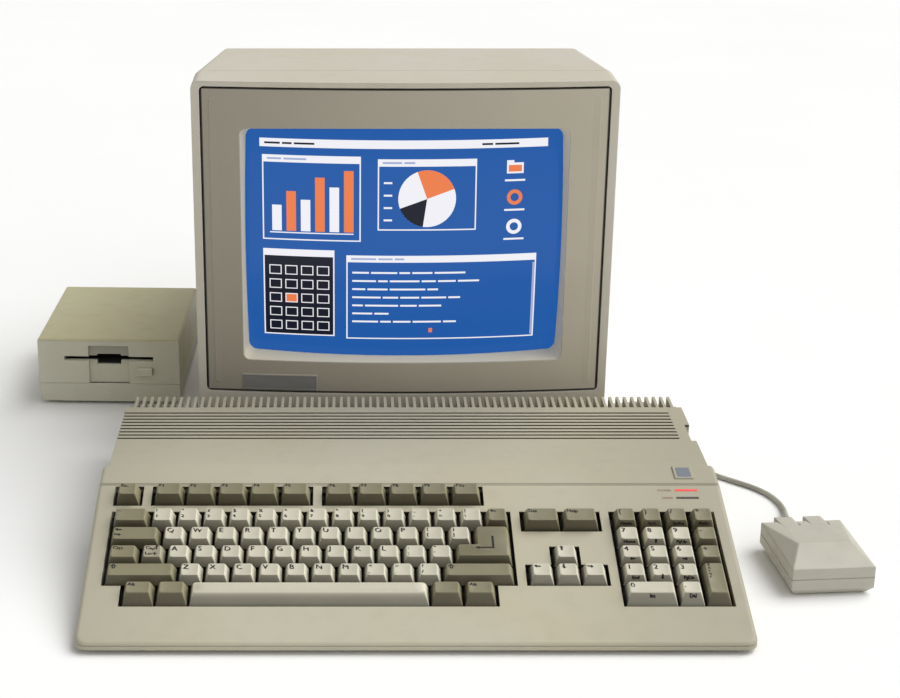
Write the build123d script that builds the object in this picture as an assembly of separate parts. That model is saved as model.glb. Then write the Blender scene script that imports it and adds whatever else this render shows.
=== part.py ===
from build123d import *
import os
from functools import lru_cache
from math import atan, cos, degrees, pi, radians, sin, tan

# A wedge-shaped home computer with its colour monitor, external disk drive and mouse, in millimetres.
# While it is built, X is 0 on the computer's centre line, Y is 0 at its front edge and Z is 0 on the desk.
# The finished set is moved so that its origin is the bottom centre of its box, cord left out.

# Keyboard: one unit is the standard key pitch; columns and widths are in units.
KEY_PITCH = 19.05
KEYBOARD_UNITS = 23.5
LEFT_COLUMN = -1.5
KEYBOARD_SHIFT = 1.5
FIRST_ROW = 39.15
FUNCTION_ROW_GAP = 0.5
KEY_GAP = 0.85
KEY_TOP_HEIGHTS = (6.6, 5.9, 6.6, 7.6, 9.0, 9.4)
KEY_TOP_FRONTS = (4.9, 4.0, 3.0, 2.0, 1.6, 1.9)
KEY_TOP_REARS = (3.4, 3.1, 3.8, 4.1, 4.3, 4.8)
FRONT_ROW_REACH = 1.8
KEY_SKIRT = 2.0
KEY_WALL = 1.3
KEY_TOP_SIDE = 3.4
STEM_SIZE = 6.0
STEM_LENGTH = 12.2
RUNNING_GAP = 0.3
WELL_GAP = 1.45
WELL_COLLAR = 1.2
WELL_COLLAR_DEPTH = 4.0
PLATE_TOP = 8.0
PLATE_THICKNESS = 4.0

# Computer case.
SIDE_MARGIN = 13.15
CASE_WIDTH = KEYBOARD_UNITS * KEY_PITCH + 2 * SIDE_MARGIN
CASE_DEPTH = 330.0
DECK_HEIGHT = 60.0
FRONT_HEIGHT = 8.9
SLOPE = 16.45
CASE_FOOT = 3.5
WALL = 2.5
REAR_INSET = 5.0
WING_DEPTH = 187.0
SLOPE_END = 160.0
FOLD = 189.0
FRONT_SEAM = 6.3
REAR_SEAM = 28.0
SEAM_GAP = 0.3
CORNER_RADIUS = 9.0
STEP_CUT = 3.0
SIDE_EDGE_RADIUS = 3.4
CREASE_BACK = 1.0
CREASE_WIDTH = 0.8
CREASE_DEPTH = 0.7
GROOVE_COUNT = 9
GROOVE_PITCH = 6.66
GROOVE_WIDTH = 2.6
GROOVE_DEPTH = 1.3
FIRST_GROOVE_BACK = 36.2
GROOVE_RIGHT_END = 12.8
FIN_PITCH = 6.15
FIN_SLOT = 3.7
FIN_LENGTH = 23.7
FIN_DEPTH = 9.0
LAMP_LENGTH = 16.8
LAMP_WIDTH = 2.0
LAMP_X = 209.7
LAMP_BACK = 5.8
LAMP_PITCH = 8.65
BADGE_WIDTH = 14.8
BADGE_LENGTH = 17.8
BADGE_X = 210.8
BADGE_START = 7.6
BADGE_RAISE = 0.6

# What the case holds.
BOARD_THICKNESS = 1.6
BOARD_HEIGHT = 10.0
BOARD_FRONT = 118.0
BOARD_LEFT_MARGIN = 32.0
BOARD_RIGHT_MARGIN = 25.0
STANDOFF_RADIUS = 3.0
SCREW_RADIUS = 1.5
SCREW_HEAD = 3.0
SCREW_BITE = 3.0
FRONT_SCREW_Y = 30.0
BOSS_RADIUS = 4.5
THREAD_GAP = 0.05
DISK_WIDTH = 101.6
DISK_DEPTH = 148.0
DISK_HEIGHT = 25.4
DISK_BACK = 78.0
DISK_LIFT = 18.5
SLOT_LENGTH = 91.0
SLOT_HEIGHT = 4.6
EJECT_WIDTH = 12.0
EJECT_HEIGHT = 6.5
EJECT_PROUD = 4.0
EJECT_TRAVEL = 3.0
NOTCH_LENGTH = 33.0
NOTCH_DEPTH = 4.0
SIDE_COVER_LENGTH = 84.0
SIDE_COVER_HEIGHT = 24.0
TRAPDOOR_WIDTH = 120.0
TRAPDOOR_DEPTH = 78.0
CONNECTORS = (
    # Place across the back, width, height; the round ones are sockets for single plugs.
    (200.0, 31.0, 12.5, "shell"),
    (160.0, 31.0, 12.5, "shell"),
    (130.0, 9.0, 9.0, "round"),
    (113.0, 9.0, 9.0, "round"),
    (74.0, 48.0, 12.5, "shell"),
    (14.0, 53.0, 12.5, "shell"),
    (-48.0, 53.0, 12.5, "shell"),
    (-97.0, 24.0, 14.0, "square"),
    (-148.0, 48.0, 12.5, "shell"),
    (-184.0, 9.0, 9.0, "round"),
)
MOUSE_PORT_X = CONNECTORS[0][0]
CONNECTOR_DEPTH = 14.0
CONNECTOR_GAP = 0.4

# Monitor.
MONITOR_WIDTH = 350.0
MONITOR_HEIGHT = 325.5
MONITOR_DEPTH = 387.0
MONITOR_GAP = 17.0
MONITOR_FOOT = 6.0
MONITOR_WALL = 3.0
MONITOR_CORNER = 7.0
FRONT_RADIUS = 1560.0
FRAME_DEPTH = 50.0
TAPER_START = 155.0
VENTS_PER_ROW = 12
VENT_PITCH = 20.0
VENT_LENGTH = 12.0
VENT_WIDTH = 4.0
VENT_ROWS = (16.0, 30.0)
TAPER_WIDTH = 318.0
TAPER_DROP = 2.0
REAR_WIDTH = 220.0
REAR_HEIGHT = 190.0
REAR_LIFT = 30.0
BEZEL_WIDTH = 334.0
BEZEL_HEIGHT = 263.4
BEZEL_BOTTOM = 56.8
BEZEL_GAP = 1.0
BEZEL_RIM = 12.0
BEZEL_LEDGE = 5.0
RECESS_WIDTH = 275.5
RECESS_HEIGHT = 205.0
RECESS_BOTTOM = 83.4
RECESS_CORNER = 5.0
GLASS_WIDTH = 262.5
GLASS_HEIGHT = 194.0
GLASS_CORNER = 7.0
GLASS_RADIUS = 700.0
GLASS_BACK = 6.0
GLASS_EDGE_BACK = 25.0
GLASS_GAP = 0.4
TUBE_MARGIN = 9.0
NECK_RADIUS = 14.5
YOKE_RADIUS = 46.0
YOKE_GAP = 0.05
POWER_BUTTON_X = 138.0
POWER_BUTTON_Z = 30.0
POWER_BUTTON_SIZE = 16.0
KNOB_X = 96.0
KNOB_RADIUS = 8.0
KNOB_PROUD = 7.0
KNOB_SHAFT = 3.0
SHAFT_GAP = 0.05
INLET_DEPTH = 14.0
INLET_Z = 62.0
PLATE_WIDTH = 64.0
PLATE_HEIGHT = 14.5
PLATE_LEFT = 137.0
PLATE_LIFT = 1.0
PLATE_RAISE = 0.6

# External disk drive.
DRIVE_WIDTH = 130.0
DRIVE_LENGTH = 152.0
DRIVE_TOP = 64.0
DRIVE_FOOT = 3.0
DRIVE_WALL = 2.0
DRIVE_X = -266.0
DRIVE_Y = 461.5
DRIVE_TURN = -2.0
DRIVE_COVER_HEIGHT = 43.4
DRIVE_PANEL = 6.0
DRIVE_SLOT_LENGTH = 82.0
DRIVE_SLOT_HEIGHT = 4.4
DRIVE_SLOT_DROP = 19.2
DRIVE_RECESS_WIDTH = 37.0
DRIVE_RECESS_DEPTH = 3.0
DRIVE_RECESS_DROP = 6.8
DRIVE_MOUTH_WIDTH = 22.0
DRIVE_MOUTH_DROP = 15.4
DRIVE_MOUTH_HEIGHT = 10.1
DRIVE_BUTTON_X = 33.0
DRIVE_BUTTON_DROP = 31.2
DRIVE_BUTTON_WIDTH = 14.0
DRIVE_BUTTON_HEIGHT = 6.4

# Mouse, with its cord leaving at the far end.
MOUSE_X = 305.5
MOUSE_Y = 125.5
MOUSE_TURN = 4.5
MOUSE_WIDTH = 62.0
MOUSE_LENGTH = 80.0
MOUSE_SEAM = 14.0
MOUSE_SHOULDER = 22.5
MOUSE_RIDGE = 32.0
MOUSE_RIDGE_BACK = 24.0
MOUSE_RIDGE_INSET = 11.0
MOUSE_CREST_END = 68.0
MOUSE_CREST_Z = 25.5
MOUSE_CREST_INSET = 15.0
MOUSE_BOTTOM = 1.0
MOUSE_CHINE = 6.0
MOUSE_CHINE_INSET = 4.0
MOUSE_WALL = 2.0
BUTTON_START = 67.5
BUTTON_LENGTH = 22.0
BUTTON_WIDTH = 13.4
BUTTON_SPLIT = 9.4
BUTTON_FLOOR = 18.5
BUTTON_TOP = 24.2
BUTTON_DROP = 1.2
BALL_RADIUS = 11.0
BALL_RISE = 0.2
BALL_HOLE = 12.6
RING_RADIUS = 17.0
RING_HOLE = 9.6
ROLLER_RADIUS = 2.0
ROLLER_LENGTH = 16.0
ROLLER_GAP = 0.05
AXLE_RADIUS = 0.9
BEARING_SIZE = 4.0

# Mouse cord: where the route lies on the desk is chosen by hand, the ends follow the mouse and the port.
CORD_DIAMETER = 4.0
CORD_EXIT_Z = 11.5
RELIEF_LENGTH = 12.0
RELIEF_RADIUS = 3.6
CORD_ROUTE = (
    (300.6, 192.5, 10.4),
    (302.2, 208.5, 5.6),
    (305.2, 225.5, 2.6),
    (304.6, 243.0, 2.2),
    (299.0, 259.5, 2.2),
    (288.6, 273.5, 2.2),
    (275.0, 285.5, 2.2),
    (261.5, 298.0, 2.2),
    (251.0, 313.0, 2.2),
    (245.8, 330.5, 2.2),
    (245.6, 349.0, 2.2),
    (243.4, 367.0, 2.2),
    (238.6, 384.0, 2.6),
)
COIL_X = 213.0
COIL_Y = 408.0
COIL_RADIUS = 23.0
COIL_BAND = 12.4
TAIL_ROUTE = (
    (195.5, 373.5, 15.4),
    (189.6, 384.6, 12.6),
)
PLUG_LENGTH = 30.0
PLUG_WIDTH = 32.0
PLUG_HEIGHT = 14.0
PORT_Z = BOARD_HEIGHT + BOARD_THICKNESS + 7.0

# Feet.
FOOT_RADIUS = 8.0


def block(x, y, z):
    """A box between a low and a high value on each axis."""
    size = [high - low for low, high in (x, y, z)]
    middle = [(low + high) / 2 for low, high in (x, y, z)]
    return Pos(*middle) * Box(*size)


def prism_x(points, low, high):
    """An outline in Y and Z, drawn out along X."""
    return extrude(Plane.YZ.offset(low) * Polygon(*points, align=None), high - low, dir=(1, 0, 0))


def prism_z(points, low, high):
    """An outline in X and Y, drawn out along Z."""
    return extrude(Pos(0, 0, low) * Polygon(*points, align=None), high - low, dir=(0, 0, 1))


def rod(start, end, radius):
    """A round bar from one point to another."""
    axis = Vector(*end) - Vector(*start)
    return extrude(Plane(origin=start, z_dir=axis) * Circle(radius), axis.length)


# ---------------------------------------------------------------- computer case

CREST_Z = FRONT_HEIGHT + SLOPE_END * tan(radians(SLOPE))
BAND_SLOPE = degrees(atan((DECK_HEIGHT - CREST_Z) / (FOLD - SLOPE_END)))
BAND = Pos(0, SLOPE_END, CREST_Z) * Rot(BAND_SLOPE, 0, 0)
KEYBOARD = Pos(0, 0, FRONT_HEIGHT) * Rot(SLOPE, 0, 0)
CASE_FLOOR = CASE_FOOT + WALL
REAR_HALF = CASE_WIDTH / 2 - REAR_INSET
FIN_FRONT = CASE_DEPTH - FIN_LENGTH
FUNCTION_ROW = len(KEY_TOP_HEIGHTS) - 1
BOARD_SIDE = CASE_WIDTH / 2 - BOARD_LEFT_MARGIN
BOARD_RIGHT = CASE_WIDTH / 2 - BOARD_RIGHT_MARGIN


def column_x(column):
    """Left edge of a key cell."""
    left = KEYBOARD_SHIFT - KEYBOARD_UNITS * KEY_PITCH / 2
    return left + (column - LEFT_COLUMN) * KEY_PITCH


def row_v(row):
    """Front edge of a row of cells, up the slope."""
    gap = FUNCTION_ROW_GAP if row == FUNCTION_ROW else 0.0
    return FIRST_ROW + (row + gap) * KEY_PITCH


def row_reach(row):
    """How far the caps of the nearest row stand out in front of their cells."""
    return FRONT_ROW_REACH if row == 0 else 0.0


def slope_z(y):
    """Height of the sloping face above the desk."""
    return FRONT_HEIGHT + y * tan(radians(SLOPE))


def wide_plan(inset):
    """The outline of the case from above at its full width, with round front corners, as a tall block."""
    half = CASE_WIDTH / 2 - inset
    plan = block((-half, half), (inset, CASE_DEPTH - inset), (0, 2 * DECK_HEIGHT))
    front = [e for e in plan.edges().filter_by(Axis.Z) if e.center().Y < inset + 1]
    return fillet(front, CORNER_RADIUS - inset)


def rear_steps(inset):
    """What is cut from both sides of the rear part, where the case is narrower."""
    wide = CASE_WIDTH / 2 - inset
    narrow = REAR_HALF - inset
    step = WING_DEPTH - inset
    left = block((-CASE_WIDTH, -narrow), (step, 2 * CASE_DEPTH), (-1, 3 * DECK_HEIGHT))
    right = block((narrow, CASE_WIDTH), (step, 2 * CASE_DEPTH), (-1, 3 * DECK_HEIGHT))
    size = STEP_CUT
    corner = [(wide - size, step), (wide + 1, step - size - 1), (wide + 1, step + 1), (wide - size, step + 1)]
    other = [(-x, y) for x, y in corner]
    return [left, right, prism_z(corner, -1, 3 * DECK_HEIGHT), prism_z(other, -1, 3 * DECK_HEIGHT)]


def case_outside():
    """The solid outside of the whole case, its long edges rounded."""
    outline = [
        (-1, CASE_FOOT),
        (-1, slope_z(-1)),
        (SLOPE_END, CREST_Z),
        (FOLD, DECK_HEIGHT),
        (CASE_DEPTH + 1, DECK_HEIGHT),
        (CASE_DEPTH + 1, CASE_FOOT),
    ]
    body = wide_plan(0) & prism_x(outline, -CASE_WIDTH, CASE_WIDTH)
    rims = [e for e in body.edges() if is_upper_rim(e)]
    body = fillet(rims, SIDE_EDGE_RADIUS)
    return body - rear_steps(0)


def is_upper_rim(edge):
    """Whether an edge runs round the top of the case at its front or its sides."""
    middle = edge.center()
    low_front = middle.Y < CORNER_RADIUS and middle.Z > CASE_FOOT + 3 and abs(edge.tangent_at(0.5).Z) < 0.9
    at_side = abs(middle.X) > CASE_WIDTH / 2 - 1 and middle.Z > CASE_FOOT + 3
    return low_front or (at_side and abs(edge.tangent_at(0.5).Y) > 0.5)


def inner_corner(y, z, before, after):
    """A corner of the roof line moved inward by the wall, between two slopes in degrees."""
    mean = radians(before + after) / 2
    reach = WALL / cos(radians(before - after) / 2)
    return y + reach * sin(mean), z - reach * cos(mean)


def case_inside():
    """The hollow of the case, lower under the fins so that they keep a floor."""
    drop = WALL / cos(radians(SLOPE))
    rail = DECK_HEIGHT - FIN_DEPTH - WALL
    outline = [
        (0, CASE_FLOOR),
        (0, slope_z(0) - drop),
        inner_corner(SLOPE_END, CREST_Z, SLOPE, BAND_SLOPE),
        inner_corner(FOLD, DECK_HEIGHT, BAND_SLOPE, 0),
        (FIN_FRONT - WALL, DECK_HEIGHT - WALL),
        (FIN_FRONT - WALL, rail),
        (CASE_DEPTH, rail),
        (CASE_DEPTH, CASE_FLOOR),
    ]
    hollow = wide_plan(WALL) & prism_x(outline, -CASE_WIDTH, CASE_WIDTH)
    return hollow - rear_steps(WALL)


def below_seam(lift):
    """Everything under the line where the two halves of the case meet."""
    outline = [
        (-5, -5),
        (-5, FRONT_SEAM + lift),
        (CASE_DEPTH + 5, REAR_SEAM + lift),
        (CASE_DEPTH + 5, -5),
    ]
    return prism_x(outline, -CASE_WIDTH, CASE_WIDTH)


WELLS = (
    # First column, last column, first row, last row of each group of key cells.
    (-1.5, 14.0, 1, 4),
    (-0.75, 13.25, 0, 1),
    (-1.5, -0.5, 5, 5),
    (0.0, 6.25, 5, 5),
    (6.75, 13.0, 5, 5),
    (14.5, 17.5, 4, 4),
    (15.5, 16.5, 2, 2),
    (14.5, 17.5, 1, 1),
    (18.0, 22.0, 0, 4),
)


def well(group, grow, low, high):
    """A block over one group of key cells, grown by a gap, in the tilted plane of the keyboard."""
    first, last, front, rear = group
    x = (column_x(first) - grow, column_x(last) + grow)
    v = (row_v(front) - row_reach(front) - grow, row_v(rear) + KEY_PITCH + grow)
    return KEYBOARD * block(x, v, (low, high))


def groove_y(index):
    """Middle of one groove on the deck, counted from the rear."""
    return CASE_DEPTH - FIRST_GROOVE_BACK - index * GROOVE_PITCH


def deck_grooves():
    """Shallow parallel grooves that run in from the left edge of the deck."""
    right = REAR_HALF - GROOVE_RIGHT_END
    cuts = []
    for index in range(GROOVE_COUNT):
        y = groove_y(index)
        span = (y - GROOVE_WIDTH / 2, y + GROOVE_WIDTH / 2)
        cuts.append(block((-CASE_WIDTH, right), span, (DECK_HEIGHT - GROOVE_DEPTH, DECK_HEIGHT + 1)))
    return cuts


def fin_slots():
    """The slots between the fins, open at the top and the back; the two end ones are open at the side too."""
    count = int(2 * REAR_HALF / FIN_PITCH)
    cuts = []
    for index in range(count):
        x = (index - (count - 1) / 2) * FIN_PITCH
        left = -CASE_WIDTH if index == 0 else x - FIN_SLOT / 2
        right = CASE_WIDTH if index == count - 1 else x + FIN_SLOT / 2
        slot_z = (DECK_HEIGHT - FIN_DEPTH, DECK_HEIGHT + 1)
        cuts.append(block((left, right), (FIN_FRONT, CASE_DEPTH + 1), slot_z))
    return cuts


CREASE_V = SLOPE_END / cos(radians(SLOPE)) - CREASE_BACK
DISK_Y = CASE_DEPTH - DISK_BACK
DISK_Z = CASE_FLOOR + DISK_LIFT
SCREW_PLACES = [(-180.0, FRONT_SCREW_Y), (180.0, FRONT_SCREW_Y)]
SCREW_PLACES += [(side * (REAR_HALF - 13.0), WING_DEPTH + 6.0) for side in (-1, 1)]


def lamp_cut(index, grow):
    """The slit of one indicator lamp in the sloping face."""
    v = CREASE_V - LAMP_BACK - index * LAMP_PITCH
    x = (LAMP_X - LAMP_LENGTH / 2 - grow, LAMP_X + LAMP_LENGTH / 2 + grow)
    return KEYBOARD * block(
        x,
        (v - LAMP_WIDTH / 2 - grow, v + LAMP_WIDTH / 2 + grow),
        (-WALL - 1, 0.2 + grow),
    )


def boss_split(y):
    """Height at which a screw post of the base meets the boss of the cover."""
    return CASE_FLOOR + (slope_z(min(y, SLOPE_END)) - CASE_FLOOR) * 0.42


def cover_bosses(space):
    """Bosses under the cover that take the screws."""
    bosses = []
    for x, y in SCREW_PLACES:
        low = boss_split(y) + SEAM_GAP
        boss = rod((x, y, low), (x, y, DECK_HEIGHT - 0.5), BOSS_RADIUS) & space
        bosses.append(boss - rod((x, y, low - 1), (x, y, low + SCREW_BITE + 1), SCREW_RADIUS + THREAD_GAP))
    return bosses


def make_top_cover():
    """The upper half of the case, with the wells of the keyboard, the grooves and the fins."""
    hollow = case_inside()
    cover = case_outside() - hollow
    cover = cover - below_seam(SEAM_GAP)
    collar_low = -WALL - WELL_COLLAR_DEPTH
    collars = [well(group, WELL_GAP + WELL_COLLAR, collar_low, -1.0) for group in WELLS]
    cover = cover + [collar & hollow for collar in collars]
    cover = cover - [well(group, WELL_GAP, collar_low - 3, 20.0) for group in WELLS]
    crease = KEYBOARD * block(
        (-CASE_WIDTH, CASE_WIDTH),
        (CREASE_V, CREASE_V + CREASE_WIDTH),
        (-CREASE_DEPTH, 5),
    )
    cover = cover - crease
    cover = cover - deck_grooves()
    cover = cover - fin_slots()
    cover = cover - [lamp_cut(0, SHAFT_GAP), lamp_cut(1, SHAFT_GAP)]
    notch_x = (REAR_HALF - NOTCH_DEPTH, CASE_WIDTH)
    notch = block(notch_x, (DISK_Y - NOTCH_LENGTH / 2, DISK_Y + NOTCH_LENGTH / 2), (DISK_Z, DECK_HEIGHT + 1))
    backing = block(
        (notch_x[0] - WALL, REAR_HALF - 1),
        (DISK_Y - NOTCH_LENGTH / 2 - WALL, DISK_Y + NOTCH_LENGTH / 2 + WALL),
        (DISK_Z + DISK_HEIGHT + 1, DECK_HEIGHT - 1),
    )
    cover = cover + backing - notch
    cover = cover - disk_window()
    cover = cover - side_cover_room(RUNNING_GAP)
    span = (BADGE_X - BADGE_WIDTH / 2, BADGE_X + BADGE_WIDTH / 2)
    cover = cover + BAND * block(span, (BADGE_START, BADGE_START + BADGE_LENGTH), (-0.5, BADGE_RAISE))
    return cover + cover_bosses(hollow)


def disk_window():
    """The opening in the right wall that the disk mechanism looks through."""
    half = DISK_WIDTH / 2 + RUNNING_GAP
    z = (DISK_Z - RUNNING_GAP, DISK_Z + DISK_HEIGHT + RUNNING_GAP)
    return block((REAR_HALF - 8, CASE_WIDTH), (DISK_Y - half, DISK_Y + half), z)


def side_cover_room(grow):
    """The opening in the left wall for the cover of the expansion connector."""
    middle = (WING_DEPTH + FIN_FRONT) / 2
    low = CASE_FLOOR + 6.0
    y = (middle - SIDE_COVER_LENGTH / 2 - grow, middle + SIDE_COVER_LENGTH / 2 + grow)
    return block((-REAR_HALF - 1, -REAR_HALF + WALL + grow), y, (low - grow, low + SIDE_COVER_HEIGHT + grow))


def make_expansion_cover():
    """A loose flat cover over the expansion connector, flush with the left wall."""
    flush = block((-REAR_HALF, 0), (0, CASE_DEPTH), (0, DECK_HEIGHT))
    return side_cover_room(0) & flush


def trapdoor_room(grow):
    """The opening in the floor for the memory trapdoor."""
    x = (-TRAPDOOR_WIDTH / 2 - grow - 40, TRAPDOOR_WIDTH / 2 + grow - 40)
    y = (BOARD_FRONT + 12 - grow, BOARD_FRONT + 12 + TRAPDOOR_DEPTH + grow)
    return block(x, y, (CASE_FOOT - grow, CASE_FLOOR + grow))


def make_trapdoor():
    """The flat door in the floor."""
    return trapdoor_room(0)


def connector_room(place, grow):
    """The space one rear connector takes through the back wall."""
    x, width, height, _ = place
    low = BOARD_HEIGHT + BOARD_THICKNESS + 0.5
    y = (CASE_DEPTH - CONNECTOR_DEPTH, CASE_DEPTH + 0.8)
    return block((x - width / 2 - grow, x + width / 2 + grow), y, (low - grow, low + height + grow))


def standoffs():
    """Places of the posts that carry the main board."""
    xs = (-BOARD_SIDE + 8, -60.0, 60.0, BOARD_SIDE - 8)
    return [(x, y) for x in xs for y in (BOARD_FRONT + 6, CASE_DEPTH - WALL - 14)]


def keyboard_rails():
    """Ribs that rise from the floor to the underside of the keyboard plate."""
    under = -(PLATE_TOP + PLATE_THICKNESS)
    _, y0, z0 = local_point(0, row_v(0) + 2, under)
    _, y1, z1 = local_point(0, row_v(FUNCTION_ROW) + KEY_PITCH - 2, under)
    outline = [(y0, CASE_FLOOR - 0.5), (y0, z0), (y1, z1), (y1, CASE_FLOOR - 0.5)]
    half = CASE_WIDTH / 2 - WALL - 1.5
    return [prism_x(outline, -half, -half + 3), prism_x(outline, half - 3, half)]


def local_point(x, v, w):
    """A point of the tilted keyboard plane, in the frame of the case."""
    a = radians(SLOPE)
    return x, v * cos(a) - w * sin(a), FRONT_HEIGHT + v * sin(a) + w * cos(a)


def make_base():
    """The lower half of the case: floor, posts, ribs and the openings at the back."""
    hollow = case_inside()
    base = (case_outside() - hollow) & below_seam(0)
    posts = [rod((x, y, CASE_FLOOR - 0.5), (x, y, BOARD_HEIGHT), STANDOFF_RADIUS) for x, y in standoffs()]
    posts += [rod((x, y, CASE_FLOOR - 0.5), (x, y, boss_split(y)), BOSS_RADIUS) for x, y in SCREW_PLACES]
    posts += drive_pillars()
    base = base + posts + keyboard_rails()
    for x, y in SCREW_PLACES:
        base = base - rod((x, y, 0), (x, y, DECK_HEIGHT), SCREW_RADIUS + 0.2)
        base = base - rod((x, y, 0), (x, y, CASE_FOOT + 1.5), SCREW_HEAD + 0.3)
    base = base - trapdoor_room(RUNNING_GAP)
    base = base - [connector_room(place, CONNECTOR_GAP) for place in CONNECTORS]
    base = base - side_cover_room(RUNNING_GAP)
    return base - disk_window()


def drive_pillars():
    """Posts under the disk mechanism in the case."""
    return [rod((x, y, CASE_FLOOR - 0.5), (x, y, DISK_Z), STANDOFF_RADIUS) for x, y in pillar_places()]


def make_main_board():
    """The circuit board on its posts, notched round the pillars of the disk mechanism, with its chips."""
    y = (BOARD_FRONT, CASE_DEPTH - WALL - 1.0)
    top = BOARD_HEIGHT + BOARD_THICKNESS
    board = block((-BOARD_SIDE, BOARD_RIGHT), y, (BOARD_HEIGHT, top))
    board = board - [rod((x, y, 0), (x, y, DISK_Z), STANDOFF_RADIUS + 1) for x, y in pillar_places()]
    chips = []
    for column in range(5):
        for row in range(3):
            x = -170.0 + column * 46.0
            chip_y = BOARD_FRONT + 26 + row * 42.0
            chips.append(block((x - 15, x + 15), (chip_y - 7, chip_y + 7), (top, top + 4)))
    return [board] + chips


def pillar_places():
    """Places of the posts under the disk mechanism."""
    inner = REAR_HALF - WALL - DISK_DEPTH
    return [(x, y) for x in (inner + 12, REAR_HALF - 22) for y in (DISK_Y - 38, DISK_Y + 38)]


def make_connectors():
    """Sockets on the rear edge of the board, each with its mouth hollowed out."""
    pieces = []
    for place in CONNECTORS:
        x, width, height, kind = place
        body = connector_room(place, 0)
        middle = BOARD_HEIGHT + BOARD_THICKNESS + 0.5 + height / 2
        mouth_y = (CASE_DEPTH - 6.0, CASE_DEPTH + 2)
        if kind == "round":
            mouth = rod((x, mouth_y[0], middle), (x, mouth_y[1], middle), 2.2)
        else:
            half = width / 2 - 4.0
            mouth = block((x - half, x + half), mouth_y, (middle - 3.6, middle + 3.6))
        pieces.append(body - mouth)
    return pieces


def make_side_drive():
    """The disk mechanism in the case: a metal box with a panel, a slot and a hole for its button."""
    x = (REAR_HALF - WALL - DISK_DEPTH, REAR_HALF - 1.0)
    body = block(x, (DISK_Y - DISK_WIDTH / 2, DISK_Y + DISK_WIDTH / 2), (DISK_Z, DISK_Z + DISK_HEIGHT))
    slot_z = DISK_Z + DISK_HEIGHT * 0.62
    slot = block(
        (x[1] - 92, x[1] + 5),
        (DISK_Y - SLOT_LENGTH / 2, DISK_Y + SLOT_LENGTH / 2),
        (slot_z - SLOT_HEIGHT / 2, slot_z + SLOT_HEIGHT / 2),
    )
    thumb = block(
        (x[1] - NOTCH_DEPTH, x[1] + 5),
        (DISK_Y - NOTCH_LENGTH / 2, DISK_Y + NOTCH_LENGTH / 2),
        (DISK_Z + 3, DISK_Z + DISK_HEIGHT + 5),
    )
    return body - slot - thumb - eject_room(RUNNING_GAP)


def eject_room(grow):
    """The space of the eject button of the disk mechanism in the case."""
    y = DISK_Y + DISK_WIDTH / 2 - 16.0
    z = DISK_Z + 6.5
    right = REAR_HALF - 1.0 + (EJECT_PROUD if grow == 0 else 5.0)
    left = REAR_HALF - 1.0 - 12.0 - (EJECT_TRAVEL + grow if grow else 0.0)
    return block(
        (left, right),
        (y - EJECT_WIDTH / 2 - grow, y + EJECT_WIDTH / 2 + grow),
        (z - EJECT_HEIGHT / 2 - grow, z + EJECT_HEIGHT / 2 + grow),
    )


def make_case_lamps():
    """Two bar-shaped lamps in the sloping face, their lower ends thickened so that they stay in."""
    return [lamp_cut(0, 0), lamp_cut(1, 0)]


def screws():
    """The screws of the case: a round head and a plain shank."""
    pieces = []
    for x, y in SCREW_PLACES:
        low = CASE_FOOT + 0.2
        head = rod((x, y, low), (x, y, CASE_FOOT + 1.4), SCREW_HEAD)
        shank = rod((x, y, low), (x, y, boss_split(y) + SEAM_GAP + SCREW_BITE), SCREW_RADIUS)
        pieces.append(head + shank)
    return pieces


# ---------------------------------------------------------------- keys

KEYS = {
    # Each node: the cells of its keys as column, row, width and depth in units.
    "key_escape": [(-1.5, 5, 1.0, 1)],
    "keys_function": [(c + 1.25 * i, 5, 1.25, 1) for c in (0.0, 6.75) for i in range(5)],
    "keys_number_row": [(-1.5, 4, 1.5, 1)] + [(float(c), 4, 1.0, 1) for c in range(14)],
    "key_tab": [(-1.5, 3, 2.0, 1)],
    "keys_upper_row": [(0.5 + i, 3, 1.0, 1) for i in range(12)],
    "key_control": [(-1.5, 2, 1.25, 1)],
    "key_caps_lock": [(-0.25, 2, 1.0, 1)],
    "keys_home_row": [(0.75 + i, 2, 1.0, 1) for i in range(11)],
    "key_left_shift": [(-1.5, 1, 2.75, 1)],
    "keys_lower_row": [(1.25 + i, 1, 1.0, 1) for i in range(10)],
    "key_right_shift": [(11.25, 1, 2.75, 1)],
    "keys_modifiers": [(c, 0, 1.25, 1) for c in (-0.75, 0.5, 10.75, 12.0)],
    "space_bar": [(1.75, 0, 9.0, 1)],
    "keys_delete_help": [(14.5, 4, 1.5, 1), (16.0, 4, 1.5, 1)],
    "key_cursor_up": [(15.5, 2, 1.0, 1)],
    "key_cursor_left": [(14.5, 1, 1.0, 1)],
    "key_cursor_down": [(15.5, 1, 1.0, 1)],
    "key_cursor_right": [(16.5, 1, 1.0, 1)],
    "keypad_keys": [(18.0 + i, r, 1.0, 1) for r in (4, 3, 2) for i in range(4)]
    + [(18.0 + i, 1, 1.0, 1) for i in range(3)]
    + [(18.0, 0, 2.0, 1), (20.0, 0, 1.0, 1)],
    "keypad_enter": [(21.0, 0, 1.0, 2)],
}
RETURN_CELLS = ((12.5, 3, 1.5), (11.75, 2, 2.25))
LONG_KEY = 2.5


def stem_offsets(wide):
    """Stems under a key: one in the middle, and one near each end of a long key."""
    if wide < LONG_KEY:
        return (0.0,)
    end = wide * KEY_PITCH / 2 - KEY_PITCH / 2
    return (-end, 0.0, end)


def stem(x, v, top, grow=0.0, low=-STEM_LENGTH):
    """A square stem under a key top."""
    half = STEM_SIZE / 2 + grow
    return block((x - half, x + half), (v - half, v + half), (low, top))


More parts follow.
